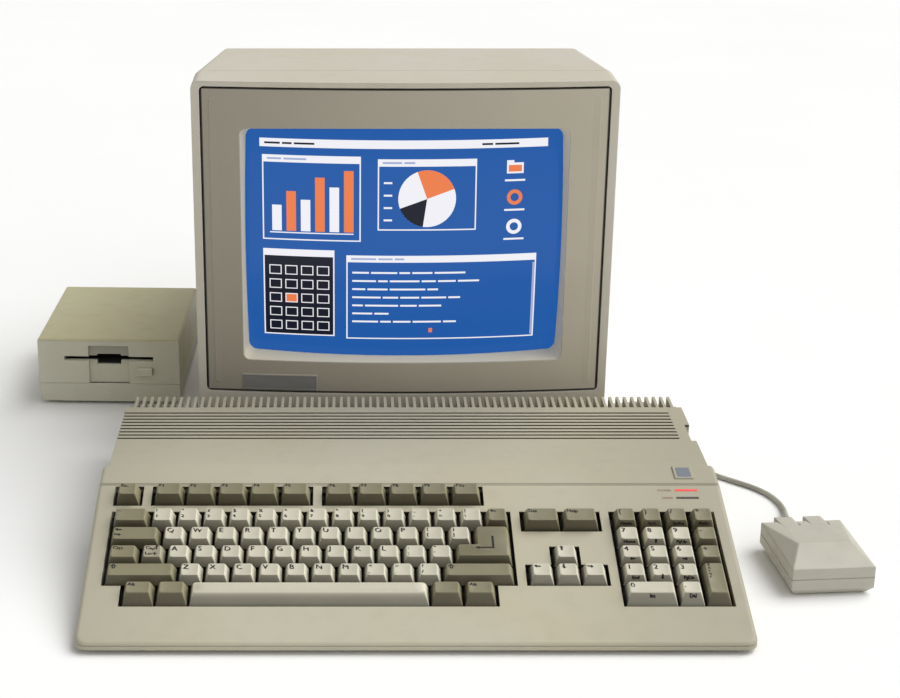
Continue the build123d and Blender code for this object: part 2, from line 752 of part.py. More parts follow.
@lru_cache(maxsize=None)
def key_shape(row, wide, deep):
    """A hollow tapered key with its stems, its cell's front left corner at the origin."""
    width = wide * KEY_PITCH
    depth = deep * KEY_PITCH
    high = KEY_TOP_HEIGHTS[row]
    front = KEY_TOP_FRONTS[row]
    reach = row_reach(row)

    def hull(inset, low, top):
        """The outside of the key, or its hollow when inset by the wall."""
        foot_size = Rectangle(width - KEY_GAP - 2 * inset, depth + reach - KEY_GAP - 2 * inset)
        foot = Pos(width / 2, (depth - reach) / 2, low) * foot_size
        head_depth = depth - front - KEY_TOP_REARS[row] - 2 * inset
        middle = front + inset + head_depth / 2
        head = Pos(width / 2, middle, top) * Rectangle(width - 2 * KEY_TOP_SIDE - 2 * inset, head_depth)
        return loft([foot, head])

    cap = hull(0, -KEY_SKIRT, high) - hull(KEY_WALL, -KEY_SKIRT - 0.01, high - KEY_WALL)
    stems = [stem(width / 2 + offset, depth / 2, high - KEY_WALL / 2) for offset in stem_offsets(wide)]
    return cap + stems


def make_keys(cells):
    """The keys of one node, each in its cell."""
    keys = []
    for column, row, wide, deep in cells:
        place = KEYBOARD * Pos(column_x(column), row_v(row), 0)
        keys.append(place * key_shape(row, wide, deep))
    return keys


def return_outline(inset):
    """The outline of the tall return key, which is wider in the lower row."""
    (upper, row, wide), (lower, low_row, _) = RETURN_CELLS
    right = column_x(upper + wide) - inset
    top = row_v(row) + KEY_PITCH - inset
    return [
        (column_x(lower) + inset, row_v(low_row) + inset),
        (right, row_v(low_row) + inset),
        (right, top),
        (column_x(upper) + inset, top),
        (column_x(upper) + inset, row_v(row) - inset),
        (column_x(lower) + inset, row_v(row) - inset),
    ]


def return_stem():
    """Middle of the stem of the return key."""
    (upper, row, wide), _ = RETURN_CELLS
    return column_x(upper + wide / 2), row_v(row)


def make_return():
    """The return key: a stepped cap with a flat top and sloping sides."""
    high = KEY_TOP_HEIGHTS[3]
    tall = high + KEY_SKIRT
    lean = degrees(atan((KEY_TOP_SIDE - KEY_GAP / 2) / tall))
    base = Pos(0, 0, -KEY_SKIRT) * Polygon(*return_outline(KEY_GAP / 2), align=None)
    room = Pos(0, 0, -KEY_SKIRT - 0.01) * Polygon(*return_outline(KEY_GAP / 2 + KEY_WALL), align=None)
    cap = extrude(base, tall, taper=lean) - extrude(room, tall - KEY_WALL, taper=lean)
    x, v = return_stem()
    return KEYBOARD * (cap + stem(x, v, high - KEY_WALL / 2))


def stem_places():
    """The middle of every stem, in the tilted plane."""
    places = [return_stem()]
    for cells in KEYS.values():
        for column, row, wide, deep in cells:
            x = column_x(column) + wide * KEY_PITCH / 2
            v = row_v(row) + deep * KEY_PITCH / 2
            places += [(x + offset, v) for offset in stem_offsets(wide)]
    return places


def make_keyboard_plate():
    """The moulded plate under the keys, with a square guide hole for every stem."""
    half = CASE_WIDTH / 2 - WALL - 1.0
    v = (row_v(0) - 1.0, row_v(FUNCTION_ROW) + KEY_PITCH + 1.0)
    low = -PLATE_TOP - PLATE_THICKNESS
    plate = block((-half, half), v, (low, -PLATE_TOP))
    holes = [stem(x, y, 0, RUNNING_GAP, low - 1) for x, y in stem_places()]
    return KEYBOARD * (plate - holes)


# ---------------------------------------------------------------- monitor

MONITOR_Y = CASE_DEPTH + MONITOR_GAP
GLASS_Y = MONITOR_Y + GLASS_BACK
RECESS_MIDDLE = RECESS_BOTTOM + RECESS_HEIGHT / 2
CABINET_Y = MONITOR_Y + FRAME_DEPTH


def rounded_slab(width, low, high, y, depth, corner):
    """An upright slab with rounded corners, its width across X and its height from low to high."""
    middle = (low + high) / 2
    sketch = Plane.XZ.offset(-y) * Pos(0, middle) * RectangleRounded(width, high - low, corner)
    return extrude(sketch, -depth)


def bowed_front(back):
    """The space behind the gently bowed front surface, moved back by some amount."""
    axis_y = MONITOR_Y + back + FRONT_RADIUS
    return rod((0, axis_y, -50), (0, axis_y, 2 * MONITOR_HEIGHT), FRONT_RADIUS)


def rounded_face(width, height, y, corner):
    """A rounded rectangle in front of the tube, centred on the picture."""
    return Plane.XZ.offset(-y) * Pos(0, RECESS_MIDDLE) * RectangleRounded(width, height, corner)


def glass_ball(grow):
    """The ball whose surface is the front of the picture tube."""
    return Pos(0, GLASS_Y + GLASS_RADIUS, RECESS_MIDDLE) * Sphere(GLASS_RADIUS + grow)


def control_rooms(grow):
    """Holes in the lower strip of the front: the square power button and the shaft of the knob."""
    half = POWER_BUTTON_SIZE / 2 + grow
    button = block(
        (POWER_BUTTON_X - half, POWER_BUTTON_X + half),
        (MONITOR_Y - 30, CABINET_Y),
        (POWER_BUTTON_Z - half, POWER_BUTTON_Z + half),
    )
    shaft = rod(
        (KNOB_X, MONITOR_Y - 30, POWER_BUTTON_Z),
        (KNOB_X, CABINET_Y, POWER_BUTTON_Z),
        KNOB_SHAFT + SHAFT_GAP,
    )
    return [button, shaft]


def make_front_frame():
    """The front part of the cabinet: a deep frame with a lower strip, open for the bezel."""
    outside = rounded_slab(
        MONITOR_WIDTH, MONITOR_FOOT, MONITOR_HEIGHT, MONITOR_Y, FRAME_DEPTH, MONITOR_CORNER
    )
    outside = outside & bowed_front(0)
    inner_low = MONITOR_FOOT + MONITOR_WALL
    inner_high = MONITOR_HEIGHT - MONITOR_WALL
    hollow = rounded_slab(
        MONITOR_WIDTH - 2 * MONITOR_WALL,
        inner_low,
        inner_high,
        MONITOR_Y,
        FRAME_DEPTH + 1,
        MONITOR_CORNER - MONITOR_WALL,
    )
    back = BEZEL_RIM + MONITOR_WALL
    hollow = hollow & bowed_front(back)
    frame = outside - hollow
    wide = BEZEL_WIDTH + 2 * BEZEL_GAP
    mouth = rounded_slab(
        wide,
        BEZEL_BOTTOM - BEZEL_GAP,
        BEZEL_BOTTOM + BEZEL_HEIGHT + BEZEL_GAP,
        MONITOR_Y - 20,
        90,
        4.0,
    )
    mouth = mouth - bowed_front(BEZEL_RIM)
    through = rounded_slab(
        wide - 2 * BEZEL_LEDGE,
        BEZEL_BOTTOM + BEZEL_LEDGE,
        BEZEL_BOTTOM + BEZEL_HEIGHT - BEZEL_LEDGE,
        MONITOR_Y - 20,
        60,
        3.0,
    )
    return frame - mouth - through - control_rooms(RUNNING_GAP)


def make_bezel():
    """The darker inner frame round the picture, its opening sloping in to the glass, with a blank plate."""
    high = BEZEL_BOTTOM + BEZEL_HEIGHT
    rim = rounded_slab(BEZEL_WIDTH, BEZEL_BOTTOM, high, MONITOR_Y - 5, 60, 3.5) & bowed_front(0.4)
    rim = rim - bowed_front(BEZEL_RIM - SEAM_GAP)
    side = BEZEL_LEDGE + 2.0
    deep = rounded_slab(BEZEL_WIDTH - 2 * side, BEZEL_BOTTOM + side, high - side, MONITOR_Y + 8, 30, 3.0)
    bezel = rim + deep
    near = rounded_face(RECESS_WIDTH, RECESS_HEIGHT, MONITOR_Y - 2, RECESS_CORNER)
    far = rounded_face(GLASS_WIDTH, GLASS_HEIGHT, MONITOR_Y + GLASS_EDGE_BACK, GLASS_CORNER)
    behind = extrude(far, -FRAME_DEPTH)
    bezel = bezel - loft([near, far]) - behind - glass_ball(GLASS_GAP)
    left = -PLATE_LEFT
    plate_z = BEZEL_BOTTOM + PLATE_LIFT
    plate = block(
        (left, left + PLATE_WIDTH),
        (MONITOR_Y - 5, MONITOR_Y + 14),
        (plate_z, plate_z + PLATE_HEIGHT),
    )
    plate = plate & bowed_front(0.4 - PLATE_RAISE)
    return bezel + (plate - bowed_front(BEZEL_RIM - 2))


def cabinet_section(y, width, low, high, corner):
    """One rounded rectangle of the rear cabinet."""
    return Plane.XZ.offset(-y) * Pos(0, (low + high) / 2) * RectangleRounded(width, high - low, corner)


def cabinet_solid(inset, front, back):
    """The tapering rear part of the cabinet, or its hollow when inset."""
    taper_y = MONITOR_Y + TAPER_START
    low = MONITOR_FOOT + inset
    high = MONITOR_HEIGHT - inset
    corner = MONITOR_CORNER - inset
    first = cabinet_section(front, MONITOR_WIDTH - 2 * inset, low, high, corner)
    second = cabinet_section(taper_y, TAPER_WIDTH - 2 * inset, low, high - TAPER_DROP, corner)
    rear_low = low + REAR_LIFT
    third = cabinet_section(
        back,
        REAR_WIDTH - 2 * inset,
        rear_low,
        rear_low + REAR_HEIGHT - 2 * inset,
        corner,
    )
    return loft([first, second], ruled=True) + loft([second, third], ruled=True)


def make_rear_cabinet():
    """The rear cabinet: a tapering shell with ventilation slots in its top and a socket hole at the back."""
    back = MONITOR_Y + MONITOR_DEPTH
    shell = cabinet_solid(0, CABINET_Y + SEAM_GAP, back)
    shell = shell - cabinet_solid(MONITOR_WALL, CABINET_Y + SEAM_GAP - 0.01, back - MONITOR_WALL)
    vents = []
    for index in range(VENTS_PER_ROW):
        x = (index - (VENTS_PER_ROW - 1) / 2) * VENT_PITCH
        for row_start in VENT_ROWS:
            front = MONITOR_Y + TAPER_START + row_start
            slot_x = (x - VENT_LENGTH / 2, x + VENT_LENGTH / 2)
            slot_z = (MONITOR_HEIGHT / 2, MONITOR_HEIGHT + 5)
            vents.append(block(slot_x, (front, front + VENT_WIDTH), slot_z))
    inlet = block((-15, 15), (back - INLET_DEPTH - 2, back - 1), (INLET_Z - 11, INLET_Z + 11))
    pocket = block((-12, 12), (back - INLET_DEPTH, back + 1), (INLET_Z - 8, INLET_Z + 8))
    return shell - vents + inlet - pocket


def make_picture_tube():
    """The glass picture tube: a bowed face, a funnel and a neck."""
    wide = GLASS_WIDTH + 2 * TUBE_MARGIN
    high = GLASS_HEIGHT + 2 * TUBE_MARGIN
    front = extrude(rounded_face(wide, high, MONITOR_Y, GLASS_CORNER), -FRAME_DEPTH) & glass_ball(0)
    rear_y = MONITOR_Y + 48
    sections = [
        rounded_face(wide, high, rear_y, GLASS_CORNER),
        rounded_face(wide * 0.6, high * 0.6, rear_y + 70, GLASS_CORNER),
        rounded_face(76, 70, rear_y + 120, 30),
    ]
    funnel = loft(sections, ruled=True)
    neck = rod((0, rear_y + 119, RECESS_MIDDLE), (0, rear_y + 250, RECESS_MIDDLE), NECK_RADIUS)
    return front + funnel + neck


def make_yoke():
    """The deflection coils clamped round the neck."""
    y = MONITOR_Y + 48 + 124
    ring = rod((0, y, RECESS_MIDDLE), (0, y + 42, RECESS_MIDDLE), YOKE_RADIUS)
    cone = rod((0, y + 42, RECESS_MIDDLE), (0, y + 58, RECESS_MIDDLE), YOKE_RADIUS * 0.6)
    bore = rod((0, y - 1, RECESS_MIDDLE), (0, y + 80, RECESS_MIDDLE), NECK_RADIUS + YOKE_GAP)
    return ring + cone - bore


def make_monitor_board():
    """The chassis board on the floor of the cabinet, with a transformer and two cooling plates."""
    low = MONITOR_FOOT + MONITOR_WALL
    y = (CABINET_Y + 12, CABINET_Y + 190)
    slope = REAR_LIFT / (MONITOR_DEPTH - TAPER_START)
    posts_top = low + slope * 90 + 8
    board = block((-105, 105), y, (posts_top, posts_top + 1.6))
    legs = [block((x - 3, x + 3), (y[0] + 4, y[0] + 12), (low, posts_top)) for x in (-90, 90)]
    board = board + legs
    top = posts_top + 1.6
    transformer = block((40, 80), (y[1] - 60, y[1] - 20), (top, top + 48))
    coolers = [block((-80, -76), (y[0] + 30 + 60 * i, y[0] + 70 + 60 * i), (top, top + 30)) for i in (0, 1)]
    return [board, transformer] + coolers


def make_power_button():
    """The square mains button of the monitor."""
    half = POWER_BUTTON_SIZE / 2
    z = (POWER_BUTTON_Z - half, POWER_BUTTON_Z + half)
    x = (POWER_BUTTON_X - half, POWER_BUTTON_X + half)
    return block(x, (MONITOR_Y + 1.0, MONITOR_Y + 24), z)


def make_volume_knob():
    """A turning knob on a short shaft, with a pointer rib."""
    front = MONITOR_Y - KNOB_PROUD
    wall = MONITOR_Y + KNOB_X**2 / (2 * FRONT_RADIUS) - 1.5
    knob = rod((KNOB_X, front, POWER_BUTTON_Z), (KNOB_X, wall, POWER_BUTTON_Z), KNOB_RADIUS)
    shaft = rod((KNOB_X, front + 1, POWER_BUTTON_Z), (KNOB_X, MONITOR_Y + 26, POWER_BUTTON_Z), KNOB_SHAFT)
    rib = block(
        (KNOB_X - 0.8, KNOB_X + 0.8),
        (front - 1.0, front + 1),
        (POWER_BUTTON_Z, POWER_BUTTON_Z + KNOB_RADIUS - 0.5),
    )
    return knob + shaft + rib


# ---------------------------------------------------------------- external disk drive

DRIVE = Pos(DRIVE_X, DRIVE_Y, 0) * Rot(0, 0, DRIVE_TURN)
DRIVE_HALF = DRIVE_WIDTH / 2
DRIVE_SEAM = DRIVE_TOP - DRIVE_COVER_HEIGHT
DRIVE_SLOT_Z = DRIVE_TOP - DRIVE_SLOT_DROP
DRIVE_RECESS_HIGH = DRIVE_TOP - DRIVE_RECESS_DROP
DRIVE_MOUTH_HIGH = DRIVE_TOP - DRIVE_MOUTH_DROP
DRIVE_MOUTH_LOW = DRIVE_MOUTH_HIGH - DRIVE_MOUTH_HEIGHT
DRIVE_BUTTON_Z = DRIVE_TOP - DRIVE_BUTTON_DROP


def is_drive_rim(edge):
    """Whether an edge of the drive's cover runs round its top or up one of its rear corners."""
    middle = edge.center()
    at_back = middle.Y > DRIVE_LENGTH - 1 and abs(middle.X) > DRIVE_HALF - 1
    return middle.Z > DRIVE_TOP - 1 or (at_back and middle.Z > DRIVE_SEAM + 1)


def make_drive_cover():
    """The upper shell of the drive: top, sides and back down to the parting line."""
    outer = block((-DRIVE_HALF, DRIVE_HALF), (0, DRIVE_LENGTH), (DRIVE_SEAM, DRIVE_TOP))
    longs = [e for e in outer.edges() if is_drive_rim(e)]
    outer = fillet(longs, 2.5)
    inner = block(
        (-DRIVE_HALF + DRIVE_WALL, DRIVE_HALF - DRIVE_WALL),
        (DRIVE_PANEL, DRIVE_LENGTH - DRIVE_WALL),
        (0, DRIVE_TOP - DRIVE_WALL),
    )
    front = block((-DRIVE_HALF - 1, DRIVE_HALF + 1), (-1, DRIVE_PANEL), (0, DRIVE_TOP - DRIVE_WALL))
    return DRIVE * (outer - inner - front)


def make_drive_base():
    """The lower tray of the drive, with its front lip under the panel and a gland at the back."""
    outer = block((-DRIVE_HALF, DRIVE_HALF), (0, DRIVE_LENGTH), (DRIVE_FOOT, DRIVE_SEAM - SEAM_GAP))
    rounded = [e for e in outer.edges().filter_by(Axis.Y) if e.center().Z < DRIVE_FOOT + 1]
    outer = fillet(rounded, 5.0)
    inner = block(
        (-DRIVE_HALF + DRIVE_WALL, DRIVE_HALF - DRIVE_WALL),
        (DRIVE_WALL, DRIVE_LENGTH - DRIVE_WALL),
        (DRIVE_FOOT + DRIVE_WALL, DRIVE_TOP),
    )
    gland = rod((0, DRIVE_LENGTH - 1, 12), (0, DRIVE_LENGTH + 4, 12), 4.5)
    return DRIVE * (outer - inner + gland)


def make_drive_front():
    """The front panel: a long slot, a finger recess round its middle and a hole for the button."""
    body = block((-DRIVE_HALF, DRIVE_HALF), (0, DRIVE_PANEL), (DRIVE_SEAM, DRIVE_TOP - DRIVE_WALL))
    half = DRIVE_SLOT_LENGTH / 2
    slot = block(
        (-half, half),
        (-1, DRIVE_PANEL + 1),
        (DRIVE_SLOT_Z - DRIVE_SLOT_HEIGHT / 2, DRIVE_SLOT_Z + DRIVE_SLOT_HEIGHT / 2),
    )
    wide = DRIVE_RECESS_WIDTH / 2
    recess = block((-wide, wide), (-1, DRIVE_RECESS_DEPTH), (DRIVE_SEAM - 1, DRIVE_RECESS_HIGH))
    mouth_half = DRIVE_MOUTH_WIDTH / 2
    mouth = block((-mouth_half, mouth_half), (-1, DRIVE_PANEL + 1), (DRIVE_MOUTH_LOW, DRIVE_MOUTH_HIGH))
    return DRIVE * (body - slot - recess - mouth - drive_button_room(RUNNING_GAP))


def drive_button_room(grow):
    """The space of the eject button of the external drive."""
    half = DRIVE_BUTTON_WIDTH / 2 + grow
    tall = DRIVE_BUTTON_HEIGHT / 2 + grow
    y = (-EJECT_PROUD, DRIVE_PANEL + 4) if grow == 0 else (-20, DRIVE_PANEL + 4 + EJECT_TRAVEL + grow)
    return block(
        (DRIVE_BUTTON_X - half, DRIVE_BUTTON_X + half),
        y,
        (DRIVE_BUTTON_Z - tall, DRIVE_BUTTON_Z + tall),
    )


def make_drive_mechanism():
    """The mechanism in the drive: a metal box with the disk's way in, on four short legs."""
    low = DRIVE_MOUTH_LOW - 10.0
    half = DISK_WIDTH / 2
    body = block((-half, half), (DRIVE_PANEL + 0.2, DRIVE_PANEL + 0.2 + 138), (low, low + DISK_HEIGHT))
    slot = block((-half + 8, half - 8), (0, 98), (DRIVE_MOUTH_LOW, DRIVE_MOUTH_HIGH))
    legs = [
        block((x - 4, x + 4), (y - 4, y + 4), (DRIVE_FOOT + DRIVE_WALL, low))
        for x in (-40, 40)
        for y in (30, 120)
    ]
    return DRIVE * (body - slot - drive_button_room(RUNNING_GAP) + legs)


def make_drive_button():
    """The eject button of the external drive."""
    return DRIVE * drive_button_room(0)


# ---------------------------------------------------------------- mouse

MOUSE = Pos(MOUSE_X, MOUSE_Y, 0) * Rot(0, 0, MOUSE_TURN)
MOUSE_HALF = MOUSE_WIDTH / 2
MOUSE_NEAR = -MOUSE_LENGTH / 2


def mouse_crown(inset):
    """The faceted upper body of the mouse, or its hollow when inset by the wall."""
    x = MOUSE_HALF - inset
    far = -MOUSE_NEAR - inset
    near = MOUSE_NEAR + inset
    low = MOUSE_SEAM + SEAM_GAP
    shoulder = MOUSE_SHOULDER - inset
    slim = inset * 0.3
    half = [
        (x, near, low),
        (x, far, low),
        (x, near, shoulder),
        (x, far, shoulder),
        (MOUSE_HALF - MOUSE_RIDGE_INSET - slim, MOUSE_NEAR + MOUSE_RIDGE_BACK, MOUSE_RIDGE - inset),
        (MOUSE_HALF - MOUSE_CREST_INSET - slim, MOUSE_NEAR + MOUSE_CREST_END, MOUSE_CREST_Z - inset),
    ]
    return ConvexPolyhedron(half + [(-px, py, pz) for px, py, pz in half])


def button_room(grow):
    """The two notches in the upper body where the buttons lie."""
    inner = BUTTON_SPLIT / 2 - grow
    outer = BUTTON_SPLIT / 2 + BUTTON_WIDTH + grow
    near = MOUSE_NEAR + BUTTON_START - grow
    y = (near, near + BUTTON_LENGTH + 20)
    z = (BUTTON_FLOOR - BUTTON_DROP - RUNNING_GAP, 60)
    return block((-outer, -inner), y, z) + block((inner, outer), y, z)


def make_mouse_top():
    """The upper shell of the mouse, with a step down under the buttons."""
    shell = mouse_crown(0) - Pos(0, 0, -0.01) * mouse_crown(MOUSE_WALL)
    floor_z = BUTTON_FLOOR - BUTTON_DROP - RUNNING_GAP
    half = BUTTON_SPLIT / 2 + BUTTON_WIDTH + 1.0
    near = MOUSE_NEAR + BUTTON_START - 1.5
    shelf = block((-half, half), (near, -MOUSE_NEAR - 1), (floor_z - 1.5, MOUSE_SHOULDER - 0.5))
    shell = shell - button_room(RUNNING_GAP) + shelf
    shell = shell - button_room(RUNNING_GAP) - relief_room(RUNNING_GAP)
    return MOUSE * shell


def make_mouse_base():
    """The lower shell: sloping under sides, a round hole for the ball and seats for the rollers."""
    lower = Pos(0, 0, MOUSE_BOTTOM) * Rectangle(
        MOUSE_WIDTH - 2 * MOUSE_CHINE_INSET,
        MOUSE_LENGTH - 2 * MOUSE_CHINE_INSET,
    )
    chine = Pos(0, 0, MOUSE_CHINE) * Rectangle(MOUSE_WIDTH, MOUSE_LENGTH)
    body = loft([lower, chine]) + block(
        (-MOUSE_HALF, MOUSE_HALF),
        (MOUSE_NEAR, -MOUSE_NEAR),
        (MOUSE_CHINE, MOUSE_SEAM),
    )
    wall = MOUSE_WALL
    room = block(
        (-MOUSE_HALF + wall + 2, MOUSE_HALF - wall - 2),
        (MOUSE_NEAR + wall + 2, -MOUSE_NEAR - wall - 2),
        (MOUSE_BOTTOM + 3.0, MOUSE_CHINE + 0.5),
    )
    upper = block(
        (-MOUSE_HALF + wall, MOUSE_HALF - wall),
        (MOUSE_NEAR + wall, -MOUSE_NEAR - wall),
        (MOUSE_CHINE, MOUSE_SEAM + 1),
    )
    base = body - room - upper
    base = base - rod((0, 0, -5), (0, 0, 20), BALL_HOLE)
    base = base - rod((0, 0, -5), (0, 0, MOUSE_BOTTOM + 1.8), RING_RADIUS + 0.1)
    base = base + roller_bearings()
    glides = [
        block((x - 8, x + 8), (y - 2, y + 2), (0, MOUSE_BOTTOM + 0.5))
        for x in (-16, 16)
        for y in (-33, 33)
    ]
    return MOUSE * (base + glides - relief_room(RUNNING_GAP))


def make_ball_ring():
    """The ring that holds the ball in from below."""
    ring = rod((0, 0, MOUSE_BOTTOM), (0, 0, MOUSE_BOTTOM + 1.7), RING_RADIUS)
    return MOUSE * (ring - rod((0, 0, -1), (0, 0, 9), RING_HOLE))


ROLLER_OFFSET = BALL_RADIUS + ROLLER_RADIUS + ROLLER_GAP
BALL_Z = BALL_RADIUS + BALL_RISE


def bearing_block(centre, along_x):
    """A small block on the floor of the mouse with a bore for one end of a roller's axle."""
    x, y = centre
    half = BEARING_SIZE / 2
    thin = 1.2
    size = (thin, half) if along_x else (half, thin)
    body = block((x - size[0], x + size[0]), (y - size[1], y + size[1]), (MOUSE_BOTTOM + 2.5, BALL_Z + 2.0))
    reach = (thin + 1, 0) if along_x else (0, thin + 1)
    bore = rod(
        (x - reach[0], y - reach[1], BALL_Z),
        (x + reach[0], y + reach[1], BALL_Z),
        AXLE_RADIUS + SHAFT_GAP,
    )
    return body - bore


def roller_bearings():
    """The four bearing blocks of the two rollers."""
    end = ROLLER_LENGTH / 2 + 1.6
    blocks = [bearing_block((side * end, -ROLLER_OFFSET), True) for side in (-1, 1)]
    blocks += [bearing_block((ROLLER_OFFSET, side * end), False) for side in (-1, 1)]
    return blocks


def make_forward_roller():
    """The roller turned by forward rolling: it lies across the mouse."""
    y = -ROLLER_OFFSET
    half = ROLLER_LENGTH / 2
    drum = rod((-half, y, BALL_Z), (half, y, BALL_Z), ROLLER_RADIUS)
    axle = rod((-half - 2.6, y, BALL_Z), (half + 2.6, y, BALL_Z), AXLE_RADIUS)
    return MOUSE * (drum + axle)


def make_side_roller():
    """The roller turned by sideways rolling: it lies along the mouse."""
    x = ROLLER_OFFSET
    half = ROLLER_LENGTH / 2
    drum = rod((x, -half, BALL_Z), (x, half, BALL_Z), ROLLER_RADIUS)
    axle = rod((x, -half - 2.6, BALL_Z), (x, half + 2.6, BALL_Z), AXLE_RADIUS)
    return MOUSE * (drum + axle)


def make_ball():
    """The rolling ball."""
    return MOUSE * Pos(0, 0, BALL_Z) * Sphere(BALL_RADIUS)


def make_mouse_button(side):
    """One button: a plate hinged at its near end, sloping down to the far end."""
    inner = side * BUTTON_SPLIT / 2
    outer = side * (BUTTON_SPLIT / 2 + BUTTON_WIDTH)
    low, high = sorted((inner, outer))
    near = MOUSE_NEAR + BUTTON_START
    far = near + BUTTON_LENGTH
    outline = [
        (near, BUTTON_FLOOR),
        (near, BUTTON_TOP + 0.8),
        (far, BUTTON_TOP - 2.2),
        (far, BUTTON_FLOOR),
    ]
    return MOUSE * prism_x(outline, low, high)


# ---------------------------------------------------------------- cord

CORD_RADIUS = CORD_DIAMETER / 2


def mouse_point(x, y, z):
    """A point of the mouse in the frame of the set."""
    a = radians(MOUSE_TURN)
    return MOUSE_X + x * cos(a) - y * sin(a), MOUSE_Y + x * sin(a) + y * cos(a), z


def relief_room(grow):
    """The tapered sleeve where the cord leaves the mouse, through its far wall."""
    y = -MOUSE_NEAR
    inside = rod((0, y - 5, CORD_EXIT_Z), (0, y + 1 + grow, CORD_EXIT_Z), RELIEF_RADIUS + grow)
    if grow:
        return inside
    root = Plane.XZ.offset(-(y + 1)) * Pos(0, CORD_EXIT_Z) * Circle(RELIEF_RADIUS)
    tip = Plane.XZ.offset(-(y + RELIEF_LENGTH)) * Pos(0, CORD_EXIT_Z) * Circle(CORD_RADIUS + 0.6)
    return inside + loft([root, tip])


def make_strain_relief():
    """The rubber sleeve round the cord at the mouse."""
    return MOUSE * relief_room(0)


def cord_tube(points):
    """A tube of straight runs joined by wide arcs, and a printed check of its radii and volume."""
    runs = [Vector(*b) - Vector(*a) for a, b in zip(points, points[1:])]
    radii = []
    for first, second in zip(runs, runs[1:]):
        turn = radians(first.get_angle(second))
        radii.append(0.45 * min(first.length, second.length) / tan(turn / 2))
    path = FilletPolyline(*points, radius=radii)
    start = Plane(origin=points[0], z_dir=runs[0])
    tube = sweep(start * Circle(CORD_RADIUS), path=path)
    length = path.length
    print("cord run", round(length, 1), "mm, radii", [round(r) for r in radii])
    print("volume over section times length", round(tube.volume / (pi * CORD_RADIUS**2 * length), 4))
    return tube


def cord_start():
    """Where the cord leaves its strain relief."""
    return mouse_point(0, -MOUSE_NEAR + RELIEF_LENGTH, CORD_EXIT_Z)


def plug_back():
    """Where the cord leaves the plug."""
    return MOUSE_PORT_X, CASE_DEPTH + 1.2 + PLUG_LENGTH, PORT_Z


def make_cord():
    """The two free stretches of the cord: mouse to coil and coil to plug."""
    coil_in = (COIL_X + COIL_RADIUS, COIL_Y - 8.0, 4.0)
    coil_out = (COIL_X - COIL_RADIUS - 0.5, COIL_Y - 10.5, COIL_BAND - 1.6)
    return [
        cord_tube([cord_start(), *CORD_ROUTE, coil_in]),
        cord_tube([plug_back(), *TAIL_ROUTE, coil_out]),
    ]


def make_coil():
    """The outer shape of the coiled length."""
    outer = rod((COIL_X, COIL_Y, 0.2), (COIL_X, COIL_Y, 0.2 + COIL_BAND), COIL_RADIUS + COIL_BAND / 2)
    inner = rod((COIL_X, COIL_Y, -1), (COIL_X, COIL_Y, 20), COIL_RADIUS - COIL_BAND / 2)
    return outer - inner


def make_plug():
    """The plug in the mouse port: a moulded body with a metal collar that enters the socket."""
    x = MOUSE_PORT_X
    y = CASE_DEPTH + 1.2
    body = block(
        (x - PLUG_WIDTH / 2, x + PLUG_WIDTH / 2),
        (y, y + PLUG_LENGTH),
        (PORT_Z - PLUG_HEIGHT / 2, PORT_Z + PLUG_HEIGHT / 2),
    )
    edges = [e for e in body.edges().filter_by(Axis.Z) if e.center().Y > y + 1]
    body = chamfer(edges, 8.0)
    collar = block((x - 10, x + 10), (CASE_DEPTH - 5.0, y + 1), (PORT_Z - 3.2, PORT_Z + 3.2))
    return body + collar


# ---------------------------------------------------------------- feet

def foot(x, y, height, radius):
    """One round rubber foot."""
    return rod((x, y, 0), (x, y, height), radius)


def make_feet():
    """The rubber feet of the computer, the monitor and the disk drive."""
    half = CASE_WIDTH / 2 - 26.0
    feet = [foot(x, y, CASE_FOOT, FOOT_RADIUS) for x in (-half, half) for y in (46.0, CASE_DEPTH - 34.0)]
    near = MONITOR_Y + 30.0
    far = MONITOR_Y + TAPER_START - 12.0
    side = TAPER_WIDTH / 2 - 24.0
    feet += [foot(x, y, MONITOR_FOOT, 1.5 * FOOT_RADIUS) for x in (-side, side) for y in (near, far)]
    wide = DRIVE_HALF - 16.0
    drive = [
        foot(x, y, DRIVE_FOOT, 0.8 * FOOT_RADIUS)
        for x in (-wide, wide)
        for y in (18.0, DRIVE_LENGTH - 18.0)
    ]
    return feet + [DRIVE * piece for piece in drive]


# ---------------------------------------------------------------- the set

